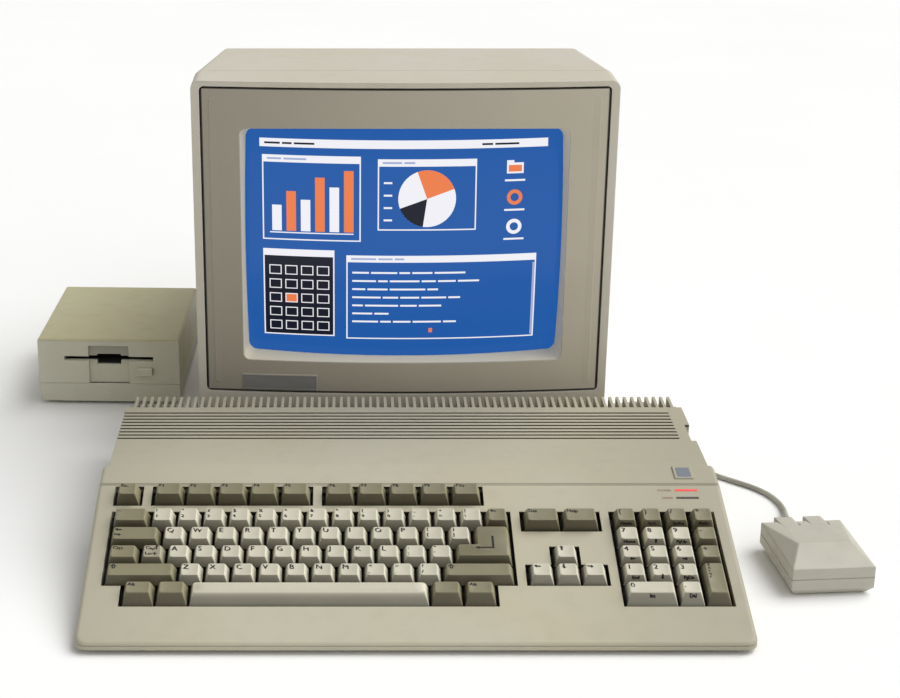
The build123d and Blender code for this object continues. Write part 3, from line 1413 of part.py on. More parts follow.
def all_nodes():
    """Every node of the set by name, each a list of solids."""
    nodes = {
        "computer_base": [make_base()],
        "computer_top_cover": [make_top_cover()],
        "keyboard_plate": [make_keyboard_plate()],
        "main_board": make_main_board(),
        "rear_connectors": make_connectors(),
        "side_disk_drive": [make_side_drive()],
        "side_eject_button": [eject_room(0)],
        "expansion_cover": [make_expansion_cover()],
        "trapdoor_cover": [make_trapdoor()],
        "indicator_lamps": make_case_lamps(),
        "case_screws": screws(),
        "rubber_feet": make_feet(),
        "key_return": [make_return()],
        "monitor_front_frame": [make_front_frame()],
        "monitor_bezel": [make_bezel()],
        "monitor_rear_cabinet": [make_rear_cabinet()],
        "picture_tube": [make_picture_tube()],
        "deflection_yoke": [make_yoke()],
        "monitor_board": make_monitor_board(),
        "monitor_power_button": [make_power_button()],
        "monitor_volume_knob": [make_volume_knob()],
        "disk_drive_cover": [make_drive_cover()],
        "disk_drive_base": [make_drive_base()],
        "disk_drive_front": [make_drive_front()],
        "disk_drive_mechanism": [make_drive_mechanism()],
        "disk_drive_button": [make_drive_button()],
        "mouse_top_shell": [make_mouse_top()],
        "mouse_base_shell": [make_mouse_base()],
        "mouse_left_button": [make_mouse_button(-1)],
        "mouse_right_button": [make_mouse_button(1)],
        "mouse_ball": [make_ball()],
        "mouse_ball_ring": [make_ball_ring()],
        "mouse_forward_roller": [make_forward_roller()],
        "mouse_side_roller": [make_side_roller()],
        "mouse_strain_relief": [make_strain_relief()],
        "mouse_cable": make_cord(),
        "mouse_cable_coil": [make_coil()],
        "mouse_plug": [make_plug()],
    }
    for name, cells in KEYS.items():
        nodes[name] = make_keys(cells)
    return nodes


CORD_NODES = ("mouse_cable", "mouse_cable_coil", "mouse_plug", "mouse_strain_relief")


def single_solids(pieces):
    """The solids in a list of pieces, one by one."""
    return [solid for piece in pieces for solid in piece.solids()]


def main():
    """Build every node, move the set to its origin and write one file for each node."""
    nodes = {name: single_solids(pieces) for name, pieces in all_nodes().items()}
    held = [solid for name, solids in nodes.items() if name not in CORD_NODES for solid in solids]
    box = Compound(held).bounding_box()
    shift = Pos(-(box.min.X + box.max.X) / 2, -(box.min.Y + box.max.Y) / 2, 0)
    print("box", box, "shift", shift.position)
    os.makedirs("parts", exist_ok=True)
    for name, solids in nodes.items():
        export_step(Compound([shift * solid for solid in solids]), f"parts/{name}.step")


main()
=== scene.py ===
import math

import bmesh
import bpy
from mathutils import Matrix, Vector


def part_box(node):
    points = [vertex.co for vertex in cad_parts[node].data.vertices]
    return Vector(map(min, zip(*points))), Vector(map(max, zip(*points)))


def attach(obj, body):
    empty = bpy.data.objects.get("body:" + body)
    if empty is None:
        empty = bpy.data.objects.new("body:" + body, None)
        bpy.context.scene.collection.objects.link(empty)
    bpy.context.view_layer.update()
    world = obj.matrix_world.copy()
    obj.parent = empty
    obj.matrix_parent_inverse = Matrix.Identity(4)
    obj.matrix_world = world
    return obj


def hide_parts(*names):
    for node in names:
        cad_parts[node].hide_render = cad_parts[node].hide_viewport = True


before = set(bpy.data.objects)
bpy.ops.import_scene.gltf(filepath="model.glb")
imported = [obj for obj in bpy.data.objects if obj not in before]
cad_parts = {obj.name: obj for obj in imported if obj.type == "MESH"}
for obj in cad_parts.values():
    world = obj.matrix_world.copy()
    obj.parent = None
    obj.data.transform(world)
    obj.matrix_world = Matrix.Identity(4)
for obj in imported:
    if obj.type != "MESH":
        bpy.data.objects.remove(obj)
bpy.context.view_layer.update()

# ---------------------------------------------------------------- viewing place
# A user's eye, standing before the keyboard and a little to its left.
# The set is looked down on at about twenty degrees through a long lens.
LENS = 73.6
LENS_SHIFT = 0.1173
LOOK_DOWN = 20.34
EYE_PLACE = (-49.6, -1119.1, 640.4)
FARTHEST_SEEN = 50
case_low, case_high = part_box("computer_base")
FRONT_EDGE = Vector(((case_low[0] + case_high[0]) / 2, case_low[1], 0))


def at(x, y, z):
    """A place in the frame, given in millimetres from the middle of the computer's front edge on the desk."""
    return FRONT_EDGE + Vector((x, y, z)) / 1000


eye = bpy.data.objects.new("eye", bpy.data.cameras.new("eye"))
eye.data.lens = LENS
eye.data.shift_x = LENS_SHIFT
eye.data.clip_end = FARTHEST_SEEN
eye.location = at(*EYE_PLACE)
eye.rotation_euler = (math.radians(90 - LOOK_DOWN), 0, 0)
bpy.context.collection.objects.link(eye)
bpy.context.scene.camera = eye
bpy.context.scene.view_settings.view_transform = "Standard"


# ---------------------------------------------------------------- mouse cord
# A round flexible lead in a smooth soft jacket, moulded on to the mouse and on to a plug at its other end.
# It lies loose to the back of the case, where the rest of its length is wound into a neat coil: it climbs in
# an outer ring, goes down in an inner one and leaves over the top.
CORD_DIAMETER = 4.0
CORD_GREY = (0.40, 0.39, 0.33)
COIL_MIDDLE = (213.0, 408.0)
COIL_OUTER = 25.2
COIL_INNER = 21.0
COIL_FOOT = 2.3
COIL_RISE = 4.085
COIL_TURNS = 3
OUTER_START = -0.03
INNER_START = 0.06
POINTS_PER_TURN = 14


class Value:
    """A number, colour or vector on its way through the nodes of a finish."""

    def __init__(self, finish, socket):
        self.finish = finish
        self.socket = socket

    def maths(self, operation, *others):
        """The result of one Math node on this value and others."""
        inputs = dict(enumerate((self, *others)))
        return self.finish.node("ShaderNodeMath", {"operation": operation}, inputs)

    def __add__(self, other):
        return self.maths("ADD", other)

    def __mul__(self, other):
        return self.maths("MULTIPLY", other)

    def __sub__(self, other):
        return self.maths("SUBTRACT", other)

    def __rsub__(self, other):
        return self.finish.node("ShaderNodeMath", {"operation": "SUBTRACT"}, {0: other, 1: self})

    def __abs__(self):
        return self.maths("ABSOLUTE")

    __radd__ = __add__
    __rmul__ = __mul__

    def step(self, low, high):
        """A soft step: 0 at low, 1 at high."""
        sockets = {"Value": self, "From Min": low, "From Max": high}
        return self.finish.node("ShaderNodeMapRange", {"interpolation_type": "SMOOTHSTEP"}, sockets)


class Finish:
    """One material. The settings that do not vary are set on its shader by name."""

    def __init__(self, name, **fixed):
        self.material = bpy.data.materials.new(name)
        self.material.use_nodes = True
        self.tree = self.material.node_tree
        self.shader = self.tree.nodes["Principled BSDF"]
        for socket, value in fixed.items():
            self.shader.inputs[socket.replace("_", " ")].default_value = value

    def node(self, kind, settings=None, sockets=None, out=0):
        """Add a node with its settings and its sockets' values or links, and give one of its outputs."""
        made = self.tree.nodes.new(kind)
        for name, value in (settings or {}).items():
            setattr(made, name, value)
        for name, value in (sockets or {}).items():
            self.feed(made.inputs[name], value)
        return Value(self, made.outputs[out])

    def feed(self, socket, value):
        """Link or set one socket."""
        if isinstance(value, Value):
            self.tree.links.new(value.socket, socket)
        else:
            socket.default_value = value

    def place(self, axis=None):
        """Where a point of the piece is, in metres, or one of its three coordinates."""
        spot = self.node("ShaderNodeTexCoord", out="Object")
        if axis is None:
            return spot
        return self.node("ShaderNodeSeparateXYZ", {}, {0: spot}, out=axis)

    def dot(self, first, second):
        """The dot product of two vectors."""
        settings = {"operation": "DOT_PRODUCT"}
        return self.node("ShaderNodeVectorMath", settings, {0: first, 1: second}, out="Value")

    def along(self, direction, start):
        """How far a point of the piece lies from a place along a direction, in metres."""
        sockets = {0: self.place(), 1: tuple(start)}
        away = self.node("ShaderNodeVectorMath", {"operation": "SUBTRACT"}, sockets)
        return self.dot(away, tuple(direction))

    def noise(self, scale, detail=2.0, stretch=None):
        """Soft random variation between 0 and 1, so many waves to the metre."""
        spot = self.place()
        if stretch:
            spot = self.node("ShaderNodeVectorMath", {"operation": "MULTIPLY"}, {0: spot, 1: stretch})
        return self.node("ShaderNodeTexNoise", {}, {"Vector": spot, "Scale": scale, "Detail": detail})

    def mix(self, amount, first, second):
        """A colour between two, by an amount from 0 to 1."""
        sockets = {0: amount, 6: first, 7: second}
        return self.node("ShaderNodeMix", {"data_type": "RGBA"}, sockets, out=2)

    def facing(self, direction, low, high):
        """How squarely the surface faces a direction, as a soft step between two cosines."""
        normal = self.node("ShaderNodeNewGeometry", out="Normal")
        return self.dot(normal, tuple(direction)).step(low, high)

    def edge(self, radius):
        """The normal of softened edges, and how far it leans from the face: 0 on a flat, more at an edge."""
        soft = self.node("ShaderNodeBevel", {"samples": 4}, {"Radius": radius})
        flat = self.node("ShaderNodeNewGeometry", out="Normal")
        return soft, 1 - self.dot(soft, flat)

    def use(self, colour=None, roughness=None, height=None, depth=0.0001, strength=0.5, normal=None):
        """Lead what varies to the shader: colour, roughness and a bumpy surface."""
        if colour is not None:
            self.feed(self.shader.inputs["Base Color"], colour)
        if roughness is not None:
            self.feed(self.shader.inputs["Roughness"], roughness)
        if height is not None:
            sockets = {"Strength": strength, "Distance": depth, "Height": height}
            if normal is not None:
                sockets["Normal"] = normal
            normal = self.node("ShaderNodeBump", {}, sockets)
        if normal is not None:
            self.feed(self.shader.inputs["Normal"], normal)
        return self


def shaded(colour, factor):
    """A colour made darker or lighter by a factor, with its alpha."""
    return tuple(min(1.0, part * factor) for part in colour[:3]) + (1.0,)


def jacket(name, colour):
    """Smooth soft cord jacket, a little greyer where it was handled."""
    finish = Finish(name, Specular_IOR_Level=0.45)
    wear = finish.noise(28.0, detail=3.0).step(0.4, 0.7)
    tone = finish.mix(wear, shaded(colour, 1.06), shaded(colour, 0.84))
    return finish.use(tone, 0.42 + 0.16 * wear, finish.noise(1500.0), depth=0.00004, strength=0.4)


def on_circle(turn, radius, height):
    """A point of the coil after some turns from the side that faces right."""
    angle = 2 * math.pi * turn
    x = COIL_MIDDLE[0] + radius * math.cos(angle)
    return at(x, COIL_MIDDLE[1] + radius * math.sin(angle), height)


route = [
    at(301.42, 177.34, 11.5),
    at(300.6, 192.5, 10.4),
    at(302.2, 208.5, 5.6),
    at(305.2, 225.5, 2.6),
    at(304.6, 243.0, 2.2),
    at(299.0, 259.5, 2.2),
    at(288.6, 273.5, 2.2),
    at(275.0, 285.5, 2.2),
    at(261.5, 298.0, 2.2),
    at(251.0, 313.0, 2.2),
    at(245.8, 330.5, 2.2),
    at(245.6, 349.0, 2.2),
    at(243.4, 367.0, 2.2),
    at(238.6, 384.0, 2.6),
]
for index in range(COIL_TURNS * POINTS_PER_TURN + 1):
    turn = index / POINTS_PER_TURN
    route.append(on_circle(turn + OUTER_START, COIL_OUTER, COIL_FOOT + COIL_RISE * turn))
for index in range(COIL_TURNS * POINTS_PER_TURN + 1):
    turn = index / POINTS_PER_TURN
    route.append(on_circle(turn + INNER_START, COIL_INNER, COIL_FOOT + COIL_RISE * (COIL_TURNS - turn)))
route += [
    on_circle(0.14, 18.0, 3.6),
    on_circle(0.22, 16.2, 7.0),
    on_circle(0.30, 15.8, 11.4),
    on_circle(0.38, 17.6, 15.6),
    on_circle(0.46, 22.0, 18.6),
    on_circle(0.53, 27.0, 18.2),
    on_circle(0.59, 30.2, 15.4),
    at(189.6, 384.6, 12.6),
    at(195.5, 373.5, 15.4),
    at(200.0, 361.2, 18.6),
]
line = bpy.data.curves.new("mouse_cord", "CURVE")
line.dimensions = "3D"
spline = line.splines.new("NURBS")
spline.points.add(len(route) - 1)
for point, spot in zip(spline.points, route):
    point.co = (*spot, 1.0)
spline.order_u = 3
spline.use_endpoint_u = True
line.resolution_u = 6
line.bevel_depth = CORD_DIAMETER / 1000 / 2
line.bevel_resolution = 5
cord = bpy.data.objects.new("mouse_cord", line)
bpy.context.collection.objects.link(cord)
cord_jacket = jacket("cord_jacket", CORD_GREY)
line.materials.append(cord_jacket.material)
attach(cord, "set")
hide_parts("mouse_cable", "mouse_cable_coil")


# ---------------------------------------------------------------- desk and light
# A plain pale desk top, painted matt. A broad soft light falls on it from the upper right, and a weaker one
# from the front right, in a bright room.
DESK_COLOUR = (0.90, 0.90, 0.89)
DESK_HALF = 9.0
FROM_ABOVE = (0.55, 0.20, 0.79)
FROM_FRONT = (0.62, -0.60, 0.50)
ROOM_WHITE = (1.0, 0.995, 0.985, 1.0)
ROOM_STRENGTH = 0.42
desk_net = bmesh.new()
bmesh.ops.create_grid(desk_net, x_segments=8, y_segments=8, size=DESK_HALF)
desk_mesh = bpy.data.meshes.new("desk")
desk_net.to_mesh(desk_mesh)
desk_net.free()
desk = bpy.data.objects.new("desk", desk_mesh)
bpy.context.collection.objects.link(desk)
desk_paint = Finish("desk_paint", Specular_IOR_Level=0.2)
desk_cloud = desk_paint.noise(3.0).step(0.3, 0.7)
desk_tone = desk_paint.mix(desk_cloud, shaded(DESK_COLOUR, 1.0), shaded(DESK_COLOUR, 0.985))
desk_paint.use(desk_tone, 0.6 + 0.1 * desk_paint.noise(40.0))
desk_mesh.materials.append(desk_paint.material)


def far_light(name, towards, spread, strength):
    """A large far light, given by the direction to it, how many degrees wide it looks and its strength."""
    lamp = bpy.data.lights.new(name, "SUN")
    lamp.angle = math.radians(spread)
    lamp.energy = strength
    made = bpy.data.objects.new(name, lamp)
    made.rotation_euler = Vector(towards).to_track_quat("Z", "Y").to_euler()
    bpy.context.collection.objects.link(made)


far_light("overhead", FROM_ABOVE, spread=50, strength=2.45)
far_light("front_fill", FROM_FRONT, spread=45, strength=0.6)
room = bpy.data.worlds.new("room")
room.use_nodes = True
room.node_tree.nodes["Background"].inputs["Color"].default_value = ROOM_WHITE
room.node_tree.nodes["Background"].inputs["Strength"].default_value = ROOM_STRENGTH
bpy.context.scene.world = room


# ---------------------------------------------------------------- computer case
# Two injection-moulded halves in a light grey-beige plastic with a fine texture, screwed together from below.
# The upper half carries the keyboard wells, the grooved deck and the fins. The covers of the two expansion
# openings are moulded in the same plastic.
CASE_BEIGE = (0.485, 0.455, 0.345)
EDGE_SOFTNESS = 0.0007
AGEING = (0.976, 0.958, 0.91)


def moulded(name, colour, grain=900.0, depth=0.00006, roughness=0.5, softness=EDGE_SOFTNESS, painted_light=None):
    """Moulded plastic: fine texture, tones warmed by age, edges paled by wear and a painted highlight, plus
    any painted light or shade.
    """
    finish = Finish(name, Specular_IOR_Level=0.42)
    soft, lean = finish.edge(softness)
    cloud = finish.noise(7.0, detail=3.0).step(0.35, 0.65)
    smudge = finish.noise(60.0, detail=4.0).step(0.45, 0.75)
    warm = [part * kept for part, kept in zip(colour, AGEING)]
    tone = finish.mix(cloud, shaded(colour, 1.0), shaded(warm, 1.0))
    tone = finish.mix(0.10 * smudge, tone, shaded(colour, 0.6))
    # Edges are painted paler: partly wear, partly a painted highlight along them.
    tone = finish.mix((lean * 5.0).maths("MINIMUM", 0.35), tone, shaded(colour, 1.35))
    # Painted shade or painted highlight given by the last argument, as masks with their factors.
    for mask, factor in painted_light(finish) if painted_light else ():
        tone = finish.mix(mask, tone, shaded(colour, factor))
    texture = finish.noise(grain, detail=3.0)
    return finish.use(tone, roughness + 0.12 * smudge, texture, depth, strength=0.6, normal=soft)


def cover_nodes(finish, *names):
    """Give CAD pieces a finish, in every material slot."""
    for name in names:
        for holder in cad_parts[name].material_slots:
            holder.material = finish.material


# Angle of the keyboard, and height of the case's front lip.
SLOPE = math.radians(16.45)
LIP_HEIGHT = 8.9
UP_SLOPE = (0, -math.sin(SLOPE), math.cos(SLOPE))
# Where painted shade darkens the ends of the case and its wells, grooves and crease: each pair is the start
# and end of a soft edge, in metres.
UNSHADED_X = -25.0
SHADED_ENDS = (0.09, 0.27)
WELL_RIM = (-0.0007, -0.0003)
WELL_FLOOR = (-0.0074, -0.0068)
WELL_SIDES = (0.222, 0.223)
WELL_FRONT = (0.033, 0.034)
WELL_BACK = (0.158, 0.159)
GROOVE_RIM = (0.0597, 0.0599)
GROOVE_FLOOR = (0.0578, 0.0582)
GROOVES_FRONT = (0.2385, 0.2390)
GROOVES_BACK = (0.2960, 0.2965)
CREASE_MIDDLE = 0.1614
CREASE_SIDES = (0.0004, 0.0006)
CREASE_FLOOR = (0.052, 0.053)


def case_painted_shade(finish):
    """Painted shade: darker ends, and near black inside the keyboard wells, in the grooves of the deck and in
    its front crease.
    """
    # Painted shade: the case grows darker towards both ends.
    ends = abs(finish.place("X") - at(UNSHADED_X, 0, 0).x).step(*SHADED_ENDS)
    # Painted shade, near black, inside the keyboard wells, in the grooves of the deck and in its crease.
    depth = finish.along(UP_SLOPE, at(0, 0, LIP_HEIGHT))
    below = (1 - depth.step(*WELL_RIM)) * depth.step(*WELL_FLOOR)
    inward = 1 - abs(finish.place("X") - at(0, 0, 0).x).step(*WELL_SIDES)
    back = finish.place("Y") - at(0, 0, 0).y
    wells = below * inward * back.step(*WELL_FRONT) * (1 - back.step(*WELL_BACK))
    height = finish.place("Z")
    sunk = (1 - height.step(*GROOVE_RIM)) * height.step(*GROOVE_FLOOR)
    grooves = sunk * back.step(*GROOVES_FRONT) * (1 - back.step(*GROOVES_BACK))
    crease = (1 - abs(back - CREASE_MIDDLE).step(*CREASE_SIDES)) * height.step(*CREASE_FLOOR)
    return (0.6 * ends, 0.66), (wells + 0.9 * grooves + 0.6 * crease, 0.05)


case_plastic = moulded("case_plastic", CASE_BEIGE, painted_light=case_painted_shade)
cover_nodes(case_plastic, "computer_base", "computer_top_cover", "expansion_cover", "trapdoor_cover")


# ---------------------------------------------------------------- case screws
# Plated steel screws with round heads, sunk into holes of the lower half.
# They are driven up into the bosses of the upper half.
PLATED_GREY = (0.55, 0.55, 0.54)


def metal(name, colour, roughness=0.35):
    """Plated or drawn metal with fine lines along one direction."""
    finish = Finish(name, Metallic=1.0)
    soft, _ = finish.edge(0.0003)
    lines = finish.noise(120.0, detail=3.0, stretch=(1.0, 40.0, 40.0))
    tone = finish.mix(lines, shaded(colour, 0.8), shaded(colour, 1.1))
    return finish.use(tone, roughness + 0.25 * lines, lines, depth=0.00002, strength=0.4, normal=soft)


plated_steel = metal("plated_steel", PLATED_GREY)
cover_nodes(plated_steel, "case_screws")


# ---------------------------------------------------------------- inside of the computer
# A dark plastic plate guides the key stems over a green circuit board, screwed to the lower half, with plated
# connectors at its rear edge. The disk mechanism is a folded steel box in the right side.
# The external drive holds the same kind of mechanism, and the monitor a like board.
PLATE_BLACK = (0.018, 0.016, 0.014)
MECHANISM_GREY = (0.33, 0.33, 0.34)
CONNECTOR_GREY = (0.62, 0.61, 0.58)
BOARD_GREEN = (0.02, 0.13, 0.05)
TRACK_GREEN = (0.16, 0.42, 0.14)
TRACK_WAVES = 390.0
cover_nodes(moulded("dark_inner_plastic", PLATE_BLACK, roughness=0.6), "keyboard_plate")
cover_nodes(metal("drive_steel", MECHANISM_GREY, 0.4), "side_disk_drive", "disk_drive_mechanism")
cover_nodes(metal("connector_metal", CONNECTOR_GREY, 0.28), "rear_connectors")
board_laminate = Finish("board_laminate", Specular_IOR_Level=0.6)
tracks = (board_laminate.place("X") * TRACK_WAVES).maths("SINE").step(0.55, 0.75)
fields = board_laminate.noise(35.0, detail=1.0).step(0.48, 0.52)
lacquer = board_laminate.mix(tracks * fields, shaded(BOARD_GREEN, 1.0), shaded(TRACK_GREEN, 1.0))
board_laminate.use(lacquer, 0.3 + 0.1 * fields, tracks, depth=0.00004, strength=0.5)
cover_nodes(board_laminate, "main_board", "monitor_board")


# ---------------------------------------------------------------- feet
# Round pads of moulded black rubber, glued under the computer, the monitor and the external drive.
# They keep the cases off the desk.
FOOT_BLACK = (0.02, 0.02, 0.02)
DUST = (0.16, 0.15, 0.14)


def rubbery(name, colour):
    """Moulded rubber: dark, dull and slightly dusty."""
    finish = Finish(name, Specular_IOR_Level=0.3)
    soft, _ = finish.edge(0.0006)
    dust = finish.noise(300.0, detail=4.0).step(0.5, 0.8)
    tone = finish.mix(dust * 0.5, shaded(colour, 1.0), shaded(DUST, 1.0))
    return finish.use(tone, 0.75 + 0.15 * dust, finish.noise(2200.0), depth=0.00005, normal=soft)


cover_nodes(rubbery("foot_rubber", FOOT_BLACK), "rubber_feet")


# ---------------------------------------------------------------- indicator lamps and their words
# Two slim bars of tinted plastic pressed into the slope, lit red for power and dark for the disk.
# Beside each, its word is printed in an ink that has faded to brown.
KEY_PLANE = Matrix.Translation(at(0, 0, LIP_HEIGHT)) @ Matrix.Rotation(SLOPE, 4, "X") @ Matrix.Scale(0.001, 4)
LIT_FROM = 148.6
DARK_LENS = (0.05, 0.035, 0.03, 1.0)
RED_LENS = (0.55, 0.03, 0.025, 1.0)
NO_GLOW = (0.0, 0.0, 0.0, 1.0)
RED_GLOW = (0.85, 0.05, 0.04, 1.0)
FADED_BROWN = (0.30, 0.20, 0.15)
WORD_ROWS = {"POWER": 158.9, "DRIVE": 150.3}
WORD_SIZE = 3.0
WORDS_RIGHT = 198.4
PRINT_LIFT = 0.05
STROKE_WIDENING = 0.24
STROKE_SLANT = 0.6
INK_LAYER = 0.012
lamp_light = Finish("lamp_light", Specular_IOR_Level=0.6, Coat_Weight=0.4, Emission_Strength=0.6)
lit = lamp_light.place("Y").step(at(0, LIT_FROM, 0).y, at(0, LIT_FROM + 1, 0).y)
lamp_light.use(lamp_light.mix(lit, DARK_LENS, RED_LENS), 0.2 + 0.1 * lamp_light.noise(900.0))
lamp_light.feed(lamp_light.shader.inputs["Emission Color"], lamp_light.mix(lit, NO_GLOW, RED_GLOW))
cover_nodes(lamp_light, "indicator_lamps")


def new_piece(name, net, materials, body="set", smooth=False):
    """Make a piece from a mesh, with its materials, and let it ride on a body."""
    mesh = bpy.data.meshes.new(name)
    net.to_mesh(mesh)
    net.free()
    for finish in materials:
        mesh.materials.append(finish.material)
    for face in mesh.polygons:
        face.use_smooth = smooth
    piece = bpy.data.objects.new(name, mesh)
    bpy.context.collection.objects.link(piece)
    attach(piece, body)
    return piece


letter_store = {}


def letter_shapes(text, size):
    """The faces of a printed word, flat, its lower left corner at the origin, in millimetres."""
    if text not in letter_store:
        curve = bpy.data.curves.new("word", "FONT")
        curve.body = text
        curve.size = 1.0
        curve.resolution_u = 2
        holder = bpy.data.objects.new("word", curve)
        mesh = bpy.data.meshes.new_from_object(holder)
        spots = [tuple(v.co[:2]) for v in mesh.vertices]
        faces = [tuple(p.vertices) for p in mesh.polygons]
        bpy.data.objects.remove(holder)
        bpy.data.curves.remove(curve)
        bpy.data.meshes.remove(mesh)
        letter_store[text] = (spots, faces)
    spots, faces = letter_store[text]
    return [(x * size, y * size) for x, y in spots], faces


def print_shape(net, shape, spot, lift):
    """Print flat faces three times side by side, which thickens their strokes; spot places a flat point."""
    spots, faces = shape
    for layer in range(3):
        right = (layer - 1) * STROKE_WIDENING
        down = right * STROKE_SLANT
        made = [net.verts.new(spot(x + right, y - down, lift + INK_LAYER * layer)) for x, y in spots]
        for face in faces:
            net.faces.new([made[i] for i in face])


def ink(name, colour):
    """Printing ink, slightly uneven, with a dull shine."""
    finish = Finish(name, Specular_IOR_Level=0.35)
    thin = finish.noise(2500.0).step(0.55, 0.8)
    return finish.use(finish.mix(thin * 0.4, shaded(colour, 1.0), shaded(colour, 1.8)), 0.55 + 0.1 * thin)


faded_ink = ink("faded_ink", FADED_BROWN)
words = bmesh.new()
for word, row in WORD_ROWS.items():
    shape = letter_shapes(word, WORD_SIZE)
    left = WORDS_RIGHT - max(x for x, _ in shape[0])
    print_shape(words, shape, lambda x, y, w: KEY_PLANE @ Vector((left + x, row + y, w)), PRINT_LIFT)
new_piece("lamp_words", words, [faded_ink])


# ---------------------------------------------------------------- deck badge
# A small moulded frame, glued to the steep strip behind the keyboard, with a sheet of brushed foil sunk into
# it. The foil is left blank.
BADGE_EDGES = (203.7, 7.9, 217.9, 25.1)
BADGE_CORNER = 1.0
BADGE_STEPS = ((0, 0.3), (0, 0.75), (0.3, 0.95), (1.5, 0.95), (1.8, 0.7))
BADGE_GREY = (0.20, 0.22, 0.26)
STRIP_FRONT = 160.0
STRIP_DEPTH = 29.0
STRIP_TOP = 60.0
STRIP_FOOT = LIP_HEIGHT + STRIP_FRONT * math.tan(SLOPE)
STRIP_RISE = math.atan2(STRIP_TOP - STRIP_FOOT, STRIP_DEPTH)
STRIP = Matrix.Translation(at(0, STRIP_FRONT, STRIP_FOOT)) @ Matrix.Rotation(STRIP_RISE, 4, "X")
STRIP = STRIP @ Matrix.Scale(0.001, 4)


def close_rings(net, rings, shade=0):
    """Join a stack of rings of points by faces, and close the last ring."""
    for low, high in zip(rings, rings[1:]):
        for i in range(len(low)):
            j = (i + 1) % len(low)
            net.faces.new((low[i], low[j], high[j], high[i])).material_index = shade
    net.faces.new(rings[-1]).material_index = shade


def tile(net, outline, steps, spot):
    """A low plate: its outline goes in and up, step by step, and is closed on top."""
    centre = [sum(p[i] for p in outline) / len(outline) for i in (0, 1)]
    reach = [max(abs(p[i] - centre[i]) for p in outline) for i in (0, 1)]
    rings = []
    for inset, height in steps:
        ring = []
        for corner in outline:
            near = [c + (q - c) * (1 - inset / far) for c, q, far in zip(centre, corner, reach)]
            ring.append(net.verts.new(spot(*near, height)))
        rings.append(ring)
    close_rings(net, rings)


def rounded(corners, radius, steps=4):
    """A level outline with each corner turned into a short curve."""
    points = []
    count = len(corners)
    for index, corner in enumerate(corners):
        here = Vector(corner)
        before = (Vector(corners[index - 1]) - here).normalized() * radius
        after = (Vector(corners[(index + 1) % count]) - here).normalized() * radius
        for k in range(steps + 1):
            t = k / steps
            points.append(tuple(here + before * (1 - t) ** 2 + after * t**2))
    return points


def rectangle(left, low, right, high):
    """Corners of a level rectangle, in order."""
    return [(left, low), (right, low), (right, high), (left, high)]


def foil(name, colour, roughness):
    """Thin brushed metal foil under clear lacquer."""
    finish = Finish(name, Metallic=0.35, Coat_Weight=0.3)
    lines = finish.noise(300.0, stretch=(40.0, 1.0, 1.0))
    return finish.use(finish.mix(lines, shaded(colour, 0.85), shaded(colour, 1.15)), roughness + 0.15 * lines)


badge = bmesh.new()
badge_outline = rounded(rectangle(*BADGE_EDGES), BADGE_CORNER)
tile(badge, badge_outline, BADGE_STEPS, lambda x, y, w: STRIP @ Vector((x, y, w)))
badge.faces.ensure_lookup_table()
badge.faces[-1].material_index = 1
new_piece("deck_badge", badge, [case_plastic, foil("badge_foil", BADGE_GREY, 0.35)])


# ---------------------------------------------------------------- keys
# Hollow caps of hard plastic in two tones, each with a dished top, rounded edges and dark legends.
# They stand on square stems in the wells of the cover and are pressed straight down into the slope.
KEY_UNIT = 19.05
FRONT_REACH = 1.8
LEFT_COLUMN = -1.5
KEYBOARD_SHIFT = 1.5
KEYBOARD_UNITS = 23.5
FIRST_ROW = 39.15
CAP_GAP = 0.8
CAP_FOOT = -2.0
TOP_SIDE = 3.4
TOP_FRONTS = (4.9, 4.0, 3.0, 2.0, 1.6, 1.9)
TOP_REARS = (3.4, 3.1, 3.8, 4.1, 4.3, 4.8)
TOP_HEIGHTS = (6.6, 5.9, 6.6, 7.6, 9.0, 9.4)
DISH = 0.75
DISH_ROLL = 0.25
FLATTEST_DISH = 12
BAR_UNITS = 5
BAR_BULGE = 1.3
# The sides of a cap, ring by ring: how far the outline leans in, how high it stands and its corner radius.
SIDE_RINGS = ((0.0, 0.0, 0.8), (0.5, 0.5, 1.4), (0.9, 0.9, 2.0), (0.99, 0.965, 2.2), (1.07, 0.995, 2.2))
RIM_LEAN = 1.07
RIM_RADIUS = 2.2
TOP_SHARES = (0.9, 0.7, 0.45, 0.2)
DISHED_FROM = 0.6
RETURN_RADIUS_SHARE = 0.8
LIGHT_KEY = (0.56, 0.535, 0.42)
DARK_KEY = (0.225, 0.205, 0.122)
CAPS_KEY = (0.33, 0.31, 0.22)


def cell_left(column):
    """Left edge of a key cell, from the middle of the case."""
    return KEYBOARD_SHIFT - KEYBOARD_UNITS * KEY_UNIT / 2 + (column - LEFT_COLUMN) * KEY_UNIT


def cell_front(row):
    """Front edge of a row of cells, up the slope; the function keys stand half a key further back."""
    return FIRST_ROW + (row + (0.5 if row == 5 else 0.0)) * KEY_UNIT


def cap_corners(cell, lean):
    """Corners of a cap at a part of its way from foot to top."""
    column, row, wide, deep = cell
    left = cell_left(column)
    front = cell_front(row)
    foot = CAP_GAP - (FRONT_REACH if row == 0 else 0.0)
    side = CAP_GAP + (TOP_SIDE - CAP_GAP) * lean
    near = foot + (TOP_FRONTS[row] - foot) * lean
    far = CAP_GAP + (TOP_REARS[row] - CAP_GAP) * lean
    return rectangle(left + side, front + near, left + wide * KEY_UNIT - side, front + deep * KEY_UNIT - far)


def return_corners(lean):
    """Corners of the tall return cap, which is wider in its front row."""
    side = CAP_GAP + (TOP_SIDE - CAP_GAP) * lean
    near = CAP_GAP + (TOP_FRONTS[2] - CAP_GAP) * lean
    far = CAP_GAP + (TOP_REARS[3] - CAP_GAP) * lean
    right = cell_left(14.0) - side
    step = cell_front(3) - far
    return [
        (cell_left(11.75) + side, cell_front(2) + near),
        (right, cell_front(2) + near),
        (right, cell_front(4) - far),
        (cell_left(12.5) + side, cell_front(4) - far),
        (cell_left(12.5) + side, step),
        (cell_left(11.75) + side, step),
    ]


